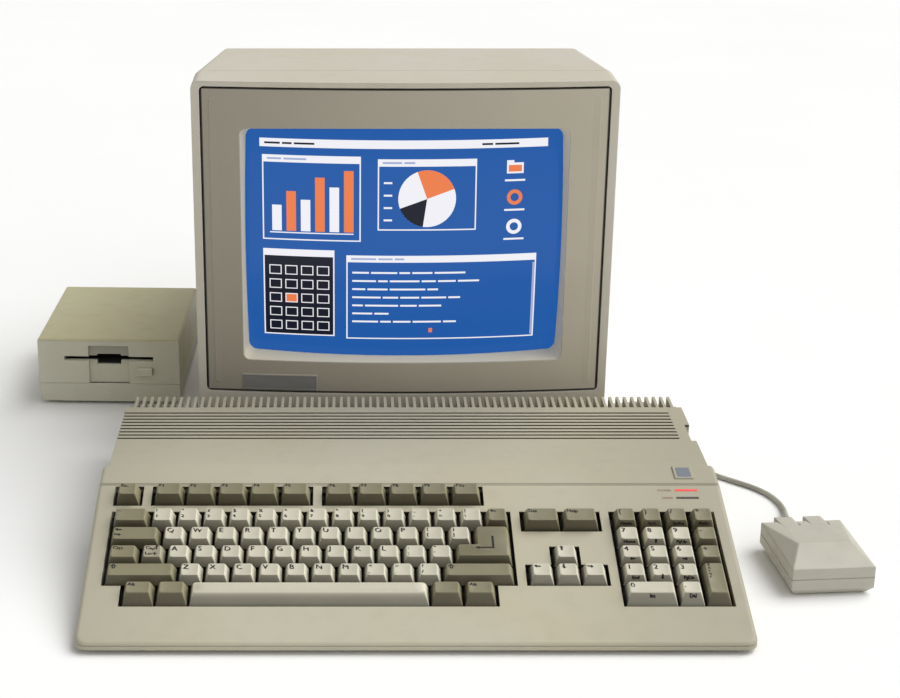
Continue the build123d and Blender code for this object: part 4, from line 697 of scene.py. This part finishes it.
def top_height(cell, x, v):
    """Height of the dished top of a cap over a point; the space bar bulges instead."""
    _, row, wide, _ = cell
    tall = TOP_HEIGHTS[row]
    (left, low), _, (right, high), _ = cap_corners(cell, 1.0)
    across = min(1.0, abs(x - (left + right) / 2) / ((right - left) / 2))
    along = min(1.0, abs(v - (low + high) / 2) / ((high - low) / 2))
    if wide > BAR_UNITS:
        return tall - BAR_BULGE * along**2
    power = min(2 * max(1, wide) ** 2, FLATTEST_DISH)
    return tall - DISH * (1 - across**power) * (1 - DISH_ROLL * along**2)


def add_cap(net, cell, shade):
    """One ordinary cap: sloping sides, a soft rim and a dished top."""
    tall = TOP_HEIGHTS[cell[1]]
    rings = []
    for lean, rise, radius in SIDE_RINGS:
        ring = []
        for x, v in rounded(cap_corners(cell, lean), radius):
            w = CAP_FOOT + (tall - CAP_FOOT) * rise
            if rise > DISHED_FROM:
                w += (top_height(cell, x, v) - tall) * (rise - DISHED_FROM) / (1 - DISHED_FROM)
            ring.append(net.verts.new(KEY_PLANE @ Vector((x, v, w))))
        rings.append(ring)
    corners = cap_corners(cell, RIM_LEAN)
    centre = (Vector(corners[0]) + Vector(corners[2])) / 2
    rim = [Vector(p) for p in rounded(corners, RIM_RADIUS)]
    for share in TOP_SHARES:
        ring = []
        for spot in rim:
            near = centre + (spot - centre) * share
            ring.append(net.verts.new(KEY_PLANE @ Vector((*near, top_height(cell, *near)))))
        rings.append(ring)
    close_rings(net, rings, shade)


def add_return_cap(net):
    """The stepped return cap with a flat top."""
    rings = []
    for lean, rise, radius in SIDE_RINGS:
        w = CAP_FOOT + (TOP_HEIGHTS[3] - CAP_FOOT) * rise
        outline = rounded(return_corners(lean), radius * RETURN_RADIUS_SHARE)
        rings.append([net.verts.new(KEY_PLANE @ Vector((x, v, w))) for x, v in outline])
    close_rings(net, rings)


# Drawn marks: outlines in a square of one by one, and how their points make faces.
ARROW = (
    [(0.0, 0.38), (0.62, 0.38), (0.62, 0.16), (1.0, 0.5), (0.62, 0.84), (0.62, 0.62), (0.0, 0.62)],
    [tuple(range(7))],
)
BENT = (
    [(0, 0.1), (0.2, 0), (0.2, 0.06), (1, 0.06), (1, 1), (0.92, 1), (0.92, 0.14), (0.2, 0.14), (0.2, 0.2)],
    [tuple(range(9))],
)
DOT = ([(0.5 + 0.5 * math.cos(k), 0.5 + 0.5 * math.sin(k)) for k in range(7)], [tuple(range(7))])
HOLLOW_UP = [(0.5, 1.0), (0.0, 0.5), (0.28, 0.5), (0.28, 0.0), (0.72, 0.0), (0.72, 0.5), (1.0, 0.5)]


def turned(shape, quarter):
    """A mark turned by quarters about its middle."""
    spots, faces = shape
    for _ in range(quarter):
        spots = [(1 - y, x) for x, y in spots]
    return spots, faces


def hollow(outline):
    """A thin outlined mark."""
    count = len(outline)
    inner = [(0.5 + (x - 0.5) * 0.5, 0.46 + (y - 0.46) * 0.5) for x, y in outline]
    faces = [(i, (i + 1) % count, count + (i + 1) % count, count + i) for i in range(count)]
    return outline + inner, faces


MARKS = {
    "right": ARROW,
    "up": turned(ARROW, 1),
    "left": turned(ARROW, 2),
    "down": turned(ARROW, 3),
    "shift": hollow(HOLLOW_UP),
    "return": BENT,
    "dot": DOT,
}
MARK_SHARE = 0.8
LARGE, MIDDLE, SMALL, TINY = 6.4, 5.6, 4.3, 3.5
FRONT_MARK = 4.4
DOT_SIZE = 3.0
LEGEND_LEFT = 1.0
LEGEND_BACK = 0.9
LOWER_BACK = 8.6
ENTER_LEFT = 1.4
ENTER_BACK = 3.2
ENTER_STEP = 3.0
DOT_SPOT = (7.6, 2.0)
RETURN_SPOT = (12.0, 24.0)
RETURN_SIZE = 17.0
TOP_PRINT_LIFT = 0.06
FRONT_PRINT_LIFT = 0.08
FRONT_PRINT_LEAN = 0.60


def mark_shape(mark, size):
    """A word or a drawn mark at a size in millimetres."""
    if mark in MARKS:
        spots, faces = MARKS[mark]
        return [(x * size * MARK_SHARE, y * size * MARK_SHARE) for x, y in spots], faces
    return letter_shapes(mark, size)


def print_on_top(net, cell, mark, right, back, size, height):
    """Print a mark on a cap, measured from the rear left corner of its top."""
    (left, _), _, (_, rear), _ = cap_corners(cell, 1.0)

    def spot(x, y, lift):
        px = left + right + x
        pv = rear - back + y
        return KEY_PLANE @ Vector((px, pv, height(px, pv) + lift))

    print_shape(net, mark_shape(mark, size), spot, TOP_PRINT_LIFT)


def print_on_front(net, cell, mark, size):
    """Print a mark in the middle of a cap's front face."""
    column, row, wide, _ = cell
    tall = TOP_HEIGHTS[row]
    shape = mark_shape(mark, size)
    width = max(x for x, _ in shape[0])
    start = cell_left(column) + (wide * KEY_UNIT - width) / 2

    def spot(x, y, lift):
        lean = FRONT_PRINT_LEAN + y / (tall - CAP_FOOT)
        near = cap_corners(cell, lean)[0][1] - lift
        return KEY_PLANE @ Vector((start + x, near, CAP_FOOT + (tall - CAP_FOOT) * lean))

    print_shape(net, shape, spot, FRONT_PRINT_LIFT)


def row_of(column, row, marks, wide=1.0, shade=0):
    """A run of equal keys with their marks."""
    return [((column + i * wide, row, wide, 1), shade, mark) for i, mark in enumerate(marks)]


# Each key is its cell, its shade (0 light, 1 dark, 2 between) and its marks (upper, lower, front).
FIRST_FIVE = row_of(0.0, 5, [f"F{n}" for n in range(1, 6)], 1.25, 1)
LAST_FIVE = row_of(6.75, 5, [f"F{n}" for n in range(6, 11)], 1.25, 1)
NUMBERS = ("!1", '"2', "£3", "$4", "%5", "^6", "&7", "*8", "(9", ")0", "_-", "+=", "|\\")
PAD = {
    4: (("(", "", "NumL"), (")", "", "ScrL"), ("/", "", "SysRq"), ("*", "", "PrtSc")),
    3: (("7", "", "Home"), ("8", "", "up"), ("9", "", "PgUp"), ("-", "", "")),
    2: (("4", "", "left"), ("5", "", ""), ("6", "", "right"), ("+", "", "")),
    1: (("1", "", "End"), ("2", "", "down"), ("3", "", "PgDn")),
}
pad_keys = []
for row, marks in PAD.items():
    for index, mark in enumerate(marks):
        pad_keys.append(((18.0 + index, row, 1.0, 1), 1 if row == 4 or index == 3 else 0, mark))
pad_keys.append(((18.0, 0, 2.0, 1), 0, ("0", "", "Ins")))
pad_keys.append(((20.0, 0, 1.0, 1), 0, (".", "", "Del")))
KEYS = {
    "key_escape": row_of(-1.5, 5, ("Esc",), 1.0, 1),
    "keys_function": FIRST_FIVE + LAST_FIVE,
    "keys_number_row": row_of(-1.5, 4, (("~", "`"),), 1.5, 1)
    + row_of(0.0, 4, [tuple(pair) for pair in NUMBERS])
    + row_of(13.0, 4, ("left",), 1.0, 1),
    "key_tab": row_of(-1.5, 3, (("left", "right"),), 2.0, 1),
    "keys_upper_row": row_of(0.5, 3, "QWERTYUIOP") + row_of(10.5, 3, (("{", "["), ("}", "]"))),
    "key_control": row_of(-1.5, 2, ("Ctrl",), 1.25, 1),
    "key_caps_lock": row_of(-0.25, 2, (("Caps", "Lock"),), 1.0, 2),
    "keys_home_row": row_of(0.75, 2, "ASDFGHJKL") + row_of(9.75, 2, ((":", ";"), ('"', "'"))),
    "key_left_shift": row_of(-1.5, 1, ("shift",), 2.75, 1),
    "keys_lower_row": row_of(1.25, 1, "ZXCVBNM") + row_of(8.25, 1, (("<", ","), (">", "."), ("?", "/"))),
    "key_right_shift": row_of(11.25, 1, ("shift",), 2.75, 1),
    "keys_modifiers": row_of(-0.75, 0, ("Alt", ""), 1.25, 1) + row_of(10.75, 0, ("", "Alt"), 1.25, 1),
    "space_bar": row_of(1.75, 0, ("",), 9.0),
    "keys_delete_help": row_of(14.5, 4, ("Del", "Help"), 1.5, 1),
    "key_cursor_up": row_of(15.5, 2, ("up",)),
    "key_cursor_left": row_of(14.5, 1, ("left",)),
    "key_cursor_down": row_of(15.5, 1, ("down",)),
    "key_cursor_right": row_of(16.5, 1, ("right",)),
    "keypad_keys": pad_keys,
    "keypad_enter": [((21.0, 0, 1.0, 2), 1, "Enter")],
}
# Painted shade on the caps' fronts and low down near their feet: its strength, its colours and the soft edge
# of the shaded foot, in metres.
FRONT_SHADE = 0.56
FRONT_SHADE_BROWN = (0.03, 0.022, 0.016, 1.0)
FOOT_SHADE = (0.012, 0.010, 0.008, 1.0)
SHADED_FOOT = (-0.0005, 0.0050)
LEGEND_BLACK = (0.010, 0.009, 0.008)


def hard_cap(name, colour):
    """Hard glossy cap plastic, smooth; a painted highlight on the rims and right sides, painted shade on the
    fronts and feet.
    """
    finish = Finish(name, Specular_IOR_Level=0.45)
    touch = finish.noise(90.0).step(0.35, 0.7)
    cloud = finish.noise(14.0).step(0.3, 0.7)
    tone = finish.mix(cloud, shaded(colour, 1.04), shaded(colour, 0.93))
    tone = finish.mix(0.12 * touch, tone, shaded(colour, 0.7))
    # Front faces: painted shade, tinted brown.
    front = finish.facing((0, -math.cos(SLOPE), -math.sin(SLOPE)), 0.3, 0.8)
    # The rounded rim between the sides and the top: a painted highlight, left off the fronts.
    rim_highlight = finish.facing(UP_SLOPE, 0.50, 0.75) * (1 - finish.facing(UP_SLOPE, 0.86, 0.97))
    tone = finish.mix(rim_highlight * (1 - front), tone, shaded(colour, 1.3))
    tone = finish.mix(FRONT_SHADE * front, tone, FRONT_SHADE_BROWN)
    # Faces turned to the right: a painted highlight, as if lit from the right.
    right = finish.facing((1, 0, 0), 0.35, 0.75)
    tone = finish.mix(0.8 * right, tone, shaded(colour, 1.5))
    # Low on the caps, near their feet: painted shade, near black, weaker on the fronts and right sides.
    low = 1 - finish.along(UP_SLOPE, at(0, 0, LIP_HEIGHT)).step(*SHADED_FOOT)
    tone = finish.mix(0.9 * low * (1 - front) * (1 - 0.75 * right), tone, FOOT_SHADE)
    return finish.use(tone, 0.42 + 0.16 * touch, finish.noise(1800.0), depth=0.00003)


light_cap = hard_cap("light_key_plastic", LIGHT_KEY)
dark_cap = hard_cap("dark_key_plastic", DARK_KEY)
caps_cap = hard_cap("middle_key_plastic", CAPS_KEY)
key_ink = ink("key_ink", LEGEND_BLACK)
for name, keys in KEYS.items():
    net = bmesh.new()
    legends = bmesh.new()
    for cell, shade, marks in keys:
        add_cap(net, cell, shade)
        upper, lower, front = (*(marks if isinstance(marks, tuple) else (marks,)), "", "")[:3]

        def height(x, v, cell=cell):
            return top_height(cell, x, v)

        size = LARGE if len(upper) == 1 and not lower else SMALL
        if upper in MARKS:
            size = MIDDLE
        if upper == "Enter":
            for index, letter in enumerate(upper):
                back = ENTER_BACK + index * ENTER_STEP
                print_on_top(legends, cell, letter, ENTER_LEFT, back, SMALL, height)
        elif upper:
            print_on_top(legends, cell, upper, LEGEND_LEFT, LEGEND_BACK + size * 0.74, size, height)
        if upper == "Caps":
            print_on_top(legends, cell, "dot", *DOT_SPOT, DOT_SIZE, height)
        if lower:
            print_on_top(legends, cell, lower, LEGEND_LEFT, LOWER_BACK + size * 0.3, size, height)
        if front:
            print_on_front(legends, cell, front, FRONT_MARK if front in MARKS else TINY)
    caps = new_piece(name + "_caps", net, [light_cap, dark_cap, caps_cap], name + "_body", True)
    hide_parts(name)
    if len(legends.verts):
        new_piece(name + "_legends", legends, [key_ink], name + "_body")
    else:
        legends.free()

net = bmesh.new()
add_return_cap(net)
return_cap = new_piece("key_return_cap", net, [dark_cap], "key_return_body", True)
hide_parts("key_return")
legends = bmesh.new()
return_cell = (11.75, 3, 2.25, 1)
print_on_top(legends, return_cell, "return", *RETURN_SPOT, RETURN_SIZE, lambda x, v: TOP_HEIGHTS[3])
new_piece("key_return_legend", legends, [key_ink], "key_return_body")


# ---------------------------------------------------------------- buttons of the disk mechanism in the case
# A push button beside the disk slot in the right wall, moulded in the same hard plastic as the darker keys.
# It slides in a guide of the disk mechanism, which springs it back.
cover_nodes(dark_cap, "side_eject_button")


# ---------------------------------------------------------------- monitor housing
# A deep front frame and a tapering rear cabinet in pale moulded plastic, with a darker painted inner bezel.
# The bezel's opening slopes in to the glass and is left in the pale colour. On its lower left sits a strip of
# foil, left blank. The power button and the volume knob are moulded in a darker plastic.
CABINET_BEIGE = (0.56, 0.53, 0.45)
BEZEL_BROWN = (0.40, 0.365, 0.29)
MONITOR_FRONT = 347.0
FRONT_BOW = 1560.0
BEZEL_BACK = 0.4
BEZEL_HALF = 167.0
BEZEL_MIDDLE = 188.5
BEZEL_TALL = 131.7
BARE_PLASTIC = (0.88, 0.80, 0.60)
CONTROL_BROWN = (0.20, 0.185, 0.15)
RECESS_HALF = 137.9
RECESS_MIDDLE = 185.9
RECESS_TALL = 102.9
cabinet_plastic = moulded("cabinet_plastic", CABINET_BEIGE, grain=700.0, softness=0.0016)
cover_nodes(cabinet_plastic, "monitor_front_frame", "monitor_rear_cabinet")


def bezel_finish(name, paint, plastic):
    """Painted front, bare plastic inside the opening, told apart by their depth behind the bowed front."""
    finish = Finish(name, Specular_IOR_Level=0.42)
    soft, lean = finish.edge(0.0009)
    middle = at(0, MONITOR_FRONT + BEZEL_BACK, RECESS_MIDDLE)
    beside = abs(finish.place("X") - middle.x)
    above = abs(finish.place("Z") - middle.z)
    behind = finish.place("Y") - middle.y - beside * beside * (500 / FRONT_BOW)
    within = behind.step(0.0005, 0.0011)
    for offset, half in ((beside, RECESS_HALF), (above, RECESS_TALL)):
        within = within * (1 - offset.step(half / 1000 + 0.001, half / 1000 + 0.002))
    # The outer edges of the bezel are painted near black: painted shade in the gap to the frame.
    ends = abs(finish.place("Z") - at(0, 0, BEZEL_MIDDLE).z)
    ends = ends.step(BEZEL_TALL / 1000 - 0.0012, BEZEL_TALL / 1000 - 0.0007)
    gap_shade = beside.step(BEZEL_HALF / 1000 - 0.0014, BEZEL_HALF / 1000 - 0.0008).maths("MAXIMUM", ends)
    cloud = finish.noise(9.0, detail=3.0).step(0.3, 0.7)
    # Painted light: the paint is darker on the left and lighter on the right.
    painted_light_across = (finish.place("X") - middle.x).step(-0.22, 0.20)
    tone = finish.mix(painted_light_across, shaded(paint, 0.80), shaded(paint, 1.30))
    tone = finish.mix(0.1 * cloud, tone, shaded(paint, 0.6))
    tone = finish.mix(within, tone, shaded(plastic, 1.0))
    tone = finish.mix((lean * 4.0).maths("MINIMUM", 0.3), tone, shaded(plastic, 1.1))
    tone = finish.mix(gap_shade, tone, shaded(paint, 0.06))
    texture = finish.noise(800.0, detail=3.0)
    return finish.use(tone, 0.46 + 0.1 * cloud, texture, depth=0.00006, strength=0.6, normal=soft)


cover_nodes(bezel_finish("bezel_paint", BEZEL_BROWN, BARE_PLASTIC), "monitor_bezel")
cover_nodes(moulded("control_plastic", CONTROL_BROWN), "monitor_power_button", "monitor_volume_knob")


def on_bezel(x, z, lift):
    """A point of the bowed front face, lifted towards the user."""
    y = MONITOR_FRONT + BEZEL_BACK + FRONT_BOW - math.sqrt((FRONT_BOW + lift) ** 2 - x * x)
    return at(x, y, z)


PLATE_LEFT = -136.6
PLATE_STEP = 7.9
PLATE_LOW = 58.3
PLATE_HIGH = 71.8
PLATE_STEPS = ((0, 0.5), (0, 0.85), (0.3, 1.0), (1.0, 1.0), (1.2, 0.85))
PLATE_GREY = (0.25, 0.25, 0.24)
plate = bmesh.new()
stops = [PLATE_LEFT + i * PLATE_STEP for i in range(9)]
plate_outline = [(x, PLATE_LOW) for x in stops] + [(x, PLATE_HIGH) for x in reversed(stops)]
tile(plate, rounded(plate_outline, 0.001, 1), PLATE_STEPS, on_bezel)
new_piece("monitor_plate", plate, [foil("plate_foil", PLATE_GREY, 0.45)])


# ---------------------------------------------------------------- picture tube
# A dark tinted glass tube with a bowed face and copper coils clamped round its neck.
# The picture is a plain desktop: panels, bars, a round chart and rows of text in a few colours.
GLASS_RADIUS = 700.0
GLASS_FRONT = MONITOR_FRONT + 6.0
GLASS_DARK = (0.012, 0.014, 0.016, 1.0)
GLASS_HAZE = (0.022, 0.024, 0.026, 1.0)
COPPER_DARK = (0.30, 0.11, 0.04, 1.0)
COPPER_BRIGHT = (0.62, 0.28, 0.12, 1.0)
WIRE_WAVES = 9000.0
SCAN_WAVES = 5200.0
PICTURE_COLOURS = {
    "blue": (0.012, 0.100, 0.385),
    "white": (0.88, 0.88, 0.93),
    "orange": (0.85, 0.21, 0.07),
    "black": (0.006, 0.008, 0.02),
    "pale": (0.36, 0.42, 0.66),
}
PICTURE_LIFT = 0.16
LEVEL_STEP = 0.05
CELL = 12.0
SECTOR_STEP = 8
BORDER = 1.1
LINE_TALL = 1.6
WORD_SPACE = 1.8
tube_glass = Finish("tube_glass", Specular_IOR_Level=0.6, Coat_Weight=0.5)
haze = tube_glass.noise(20.0)
tube_glass.use(tube_glass.mix(haze, GLASS_DARK, GLASS_HAZE), 0.10 + 0.08 * haze)
cover_nodes(tube_glass, "picture_tube")
copper = Finish("copper_winding", Metallic=0.9)
wires = (copper.place("Z") * WIRE_WAVES).maths("SINE").step(-1.0, 1.0)
winding = copper.mix(wires, COPPER_DARK, COPPER_BRIGHT)
copper.use(winding, 0.3 + 0.2 * wires, wires, depth=0.0002, strength=0.8)
cover_nodes(copper, "deflection_yoke")


def phosphor(name, colour):
    """Glowing picture under smooth glass, with faint scan lines."""
    finish = Finish(name, Specular_IOR_Level=0.25, Emission_Strength=1.0)
    scan = (finish.place("Z") * SCAN_WAVES).maths("SINE").step(-1.0, 1.0)
    bloom = finish.noise(11.0, detail=1.0)
    dim = finish.mix(scan, shaded(colour, 0.94), shaded(colour, 1.0))
    dim = finish.mix(0.25 * bloom, dim, shaded(colour, 0.8))
    finish.feed(finish.shader.inputs["Emission Color"], dim)
    return finish.use(shaded(colour, 0.05), 0.16 + 0.06 * bloom)


picture = bmesh.new()
SHADES = {name: index for index, name in enumerate(PICTURE_COLOURS)}


def on_glass(x, y, level):
    """A point of the picture, measured from its middle; higher levels lie nearer the user."""
    lifted = GLASS_RADIUS + PICTURE_LIFT + LEVEL_STEP * level
    back = GLASS_FRONT + GLASS_RADIUS - math.sqrt(lifted**2 - x * x - y * y)
    return picture.verts.new(at(x, back, RECESS_MIDDLE + y))


def panel(left, low, right, high, colour, level):
    """A rectangle of the picture, bent to the glass."""
    columns = math.ceil((right - left) / CELL)
    rows = math.ceil((high - low) / CELL)
    grid = []
    for i in range(columns + 1):
        x = left + (right - left) * i / columns
        grid.append([on_glass(x, low + (high - low) * j / rows, level) for j in range(rows + 1)])
    for i in range(columns):
        for j in range(rows):
            face = picture.faces.new((grid[i][j], grid[i + 1][j], grid[i + 1][j + 1], grid[i][j + 1]))
            face.material_index = SHADES[colour]


def outlined(left, low, right, high, inside, level, thick=BORDER):
    """A panel with a thin white border."""
    panel(left, low, right, high, "white", level)
    panel(left + thick, low + thick, right - thick, high - thick, inside, level + 1)


def sector(x, y, radius, start, end, colour, level):
    """Part of a disc, from one angle to another in degrees."""
    count = int((end - start) / SECTOR_STEP)
    half, full = [], []
    for k in range(count + 1):
        angle = math.radians(start + (end - start) * k / count)
        for ring, reach in ((half, radius / 2), (full, radius)):
            ring.append(on_glass(x + reach * math.cos(angle), y + reach * math.sin(angle), level))
    centre = on_glass(x, y, level)
    for k in range(count):
        inner = (centre, half[k], half[k + 1])
        outer = (half[k], full[k], full[k + 1], half[k + 1])
        for corners in (inner, outer):
            picture.faces.new(corners).material_index = SHADES[colour]


def text_line(left, y, lengths, colour, level):
    """A row of short bars like words."""
    for length in lengths:
        panel(left, y, left + length, y + LINE_TALL, colour, level)
        left += length + WORD_SPACE


panel(-139.0, -105.0, 139.0, 105.0, "blue", 0)
panel(-120.0, 82.5, 119.0, 89.5, "white", 1)
text_line(-116.0, 85.0, (13, 8, 17), "black", 2)
text_line(64.0, 85.0, (9, 20), "black", 2)
outlined(-118.0, 4.0, -36.0, 76.0, "blue", 1)
panel(-118.0, 70.0, -36.0, 76.0, "white", 3)
text_line(-114.0, 72.2, (12, 19), "pale", 4)
for index, tall in enumerate((22, 34, 27, 46, 38, 52)):
    left = -110.0 + index * 12.0
    panel(left, 12.0, left + 8.0, 12.0 + tall, "orange" if index % 2 else "white", 3)
panel(-112.0, 10.0, -42.0, 11.0, "white", 3)
outlined(-118.0, -82.0, -58.0, -4.0, "black", 1)
panel(-118.0, -10.0, -58.0, -4.0, "white", 3)
for row in range(5):
    for column in range(4):
        left = -113.0 + column * 13.4
        low = -77.0 + row * 12.6
        inside = "orange" if (row, column) == (2, 1) else "black"
        outlined(left, low, left + 10.4, low + 8.4, inside, 3, thick=0.8)
outlined(-22.0, 14.0, 60.0, 74.0, "blue", 1)
panel(-22.0, 68.0, 60.0, 74.0, "white", 3)
text_line(-18.0, 70.2, (16, 9), "pale", 4)
sector(19.0, 41.0, 24.0, 0, 360, "white", 3)
sector(19.0, 41.0, 24.0, 20, 110, "orange", 4)
sector(19.0, 41.0, 24.0, 200, 262, "black", 4)
for index in range(4):
    text_line(-17.0, 22.0 + index * 10.5, (7,), "white", 3)
outlined(-48.0, -84.0, 112.0, -8.0, "blue", 1)
panel(-48.0, -14.0, 112.0, -8.0, "white", 3)
text_line(-44.0, -11.8, (21, 12, 8), "pale", 4)
PAGE_LINES = (
    (14, 22, 9, 17, 26),
    (20, 8, 25, 12, 15, 18),
    (11, 17, 30, 9),
    (24, 13, 16, 21, 10),
    (9, 28, 14, 19),
    (17, 12),
    (22, 9, 15, 24, 11),
)
for index, lengths in enumerate(PAGE_LINES):
    text_line(-43.0, -24.0 - index * 7.4, lengths, "white", 3)
panel(22.0, -77.6, 25.0, -73.6, "orange", 3)
panel(109.0, -82.0, 111.0, -16.0, "pale", 3)
panel(85.0, 61.0, 99.0, 70.0, "white", 3)
panel(85.0, 70.0, 91.0, 72.0, "white", 3)
panel(86.5, 62.5, 97.5, 68.0, "orange", 4)
for y, start, colour in ((41.0, 45, "orange"), (16.0, 0, "white")):
    sector(92.0, y, 6.5, start, start + 360, colour, 3)
    sector(92.0, y, 3.5, 0, 360, "blue", 4)
for y in (54.5, 29.5, 4.5):
    text_line(83.5, y, (17,), "white", 3)
lights = [phosphor("picture_" + name, colour) for name, colour in PICTURE_COLOURS.items()]
new_piece("screen_picture", picture, lights, smooth=True)


# ---------------------------------------------------------------- external disk drive
# A folded steel cover with satin beige paint over a matching tray, and a moulded front with slot and finger
# recess. The eject button is moulded in the same plastic.
DRIVE_BEIGE = (0.52, 0.49, 0.31)
PANEL_BEIGE = (0.55, 0.54, 0.44)
DRIVE_TURN = math.radians(-2.0)
DRIVE_ACROSS = (math.cos(DRIVE_TURN), math.sin(DRIVE_TURN), 0)
DRIVE_BACK = (-math.sin(DRIVE_TURN), math.cos(DRIVE_TURN), 0)
DRIVE_FRONT = at(-266, 461.5, 0)
# Soft edges of the painted highlight on the ledges and of the painted shade in the finger recess, in metres.
LEDGE_TOP = (0.0605, 0.0610)
RECESS_DEPTH = (0.0012, 0.0028)
RECESS_SIDES = (0.0183, 0.0187)
RECESS_HEIGHT = (0.035, 0.052)
satin_paint = moulded("drive_paint", DRIVE_BEIGE, grain=350.0, depth=0.00003, roughness=0.4, softness=0.0009)
cover_nodes(satin_paint, "disk_drive_cover")


def drive_painted_light(finish):
    """Painted highlight on ledges that face up, such as the lower lip of the slot; painted shade in the
    finger recess.
    """
    across = finish.along(DRIVE_ACROSS, DRIVE_FRONT)
    height = finish.place("Z")
    ledge = finish.facing((0, 0, 1), 0.6, 0.9) * (1 - height.step(*LEDGE_TOP))
    deep = finish.along(DRIVE_BACK, DRIVE_FRONT).step(*RECESS_DEPTH)
    recess = deep * (1 - abs(across).step(*RECESS_SIDES)) * height.step(*RECESS_HEIGHT)
    return (0.8 * ledge, 1.9), (0.6 * recess, 0.35)


# The drive's moulded parts carry this painted highlight and painted shade.
drive_plastic = moulded("drive_plastic", PANEL_BEIGE, softness=0.0010, painted_light=drive_painted_light)
cover_nodes(drive_plastic, "disk_drive_front", "disk_drive_base", "disk_drive_button")


# ---------------------------------------------------------------- mouse
# Two clipped shells in pale plastic with a faceted top and two hinged buttons at the cord end.
# A coated steel ball turns two small rollers inside; a soft sleeve keeps the cord from kinking.
MOUSE_BEIGE = (0.48, 0.465, 0.40)
BALL_GREY = (0.10, 0.10, 0.10)
mouse_plastic = moulded("mouse_plastic", MOUSE_BEIGE, grain=1100.0, depth=0.00004, softness=0.0026)
cover_nodes(mouse_plastic, "mouse_top_shell", "mouse_base_shell", "mouse_ball_ring")
cover_nodes(mouse_plastic, "mouse_left_button", "mouse_right_button")
cover_nodes(rubbery("ball_coat", BALL_GREY), "mouse_ball")
cover_nodes(plated_steel, "mouse_forward_roller", "mouse_side_roller")
cover_nodes(cord_jacket, "mouse_strain_relief", "mouse_plug")
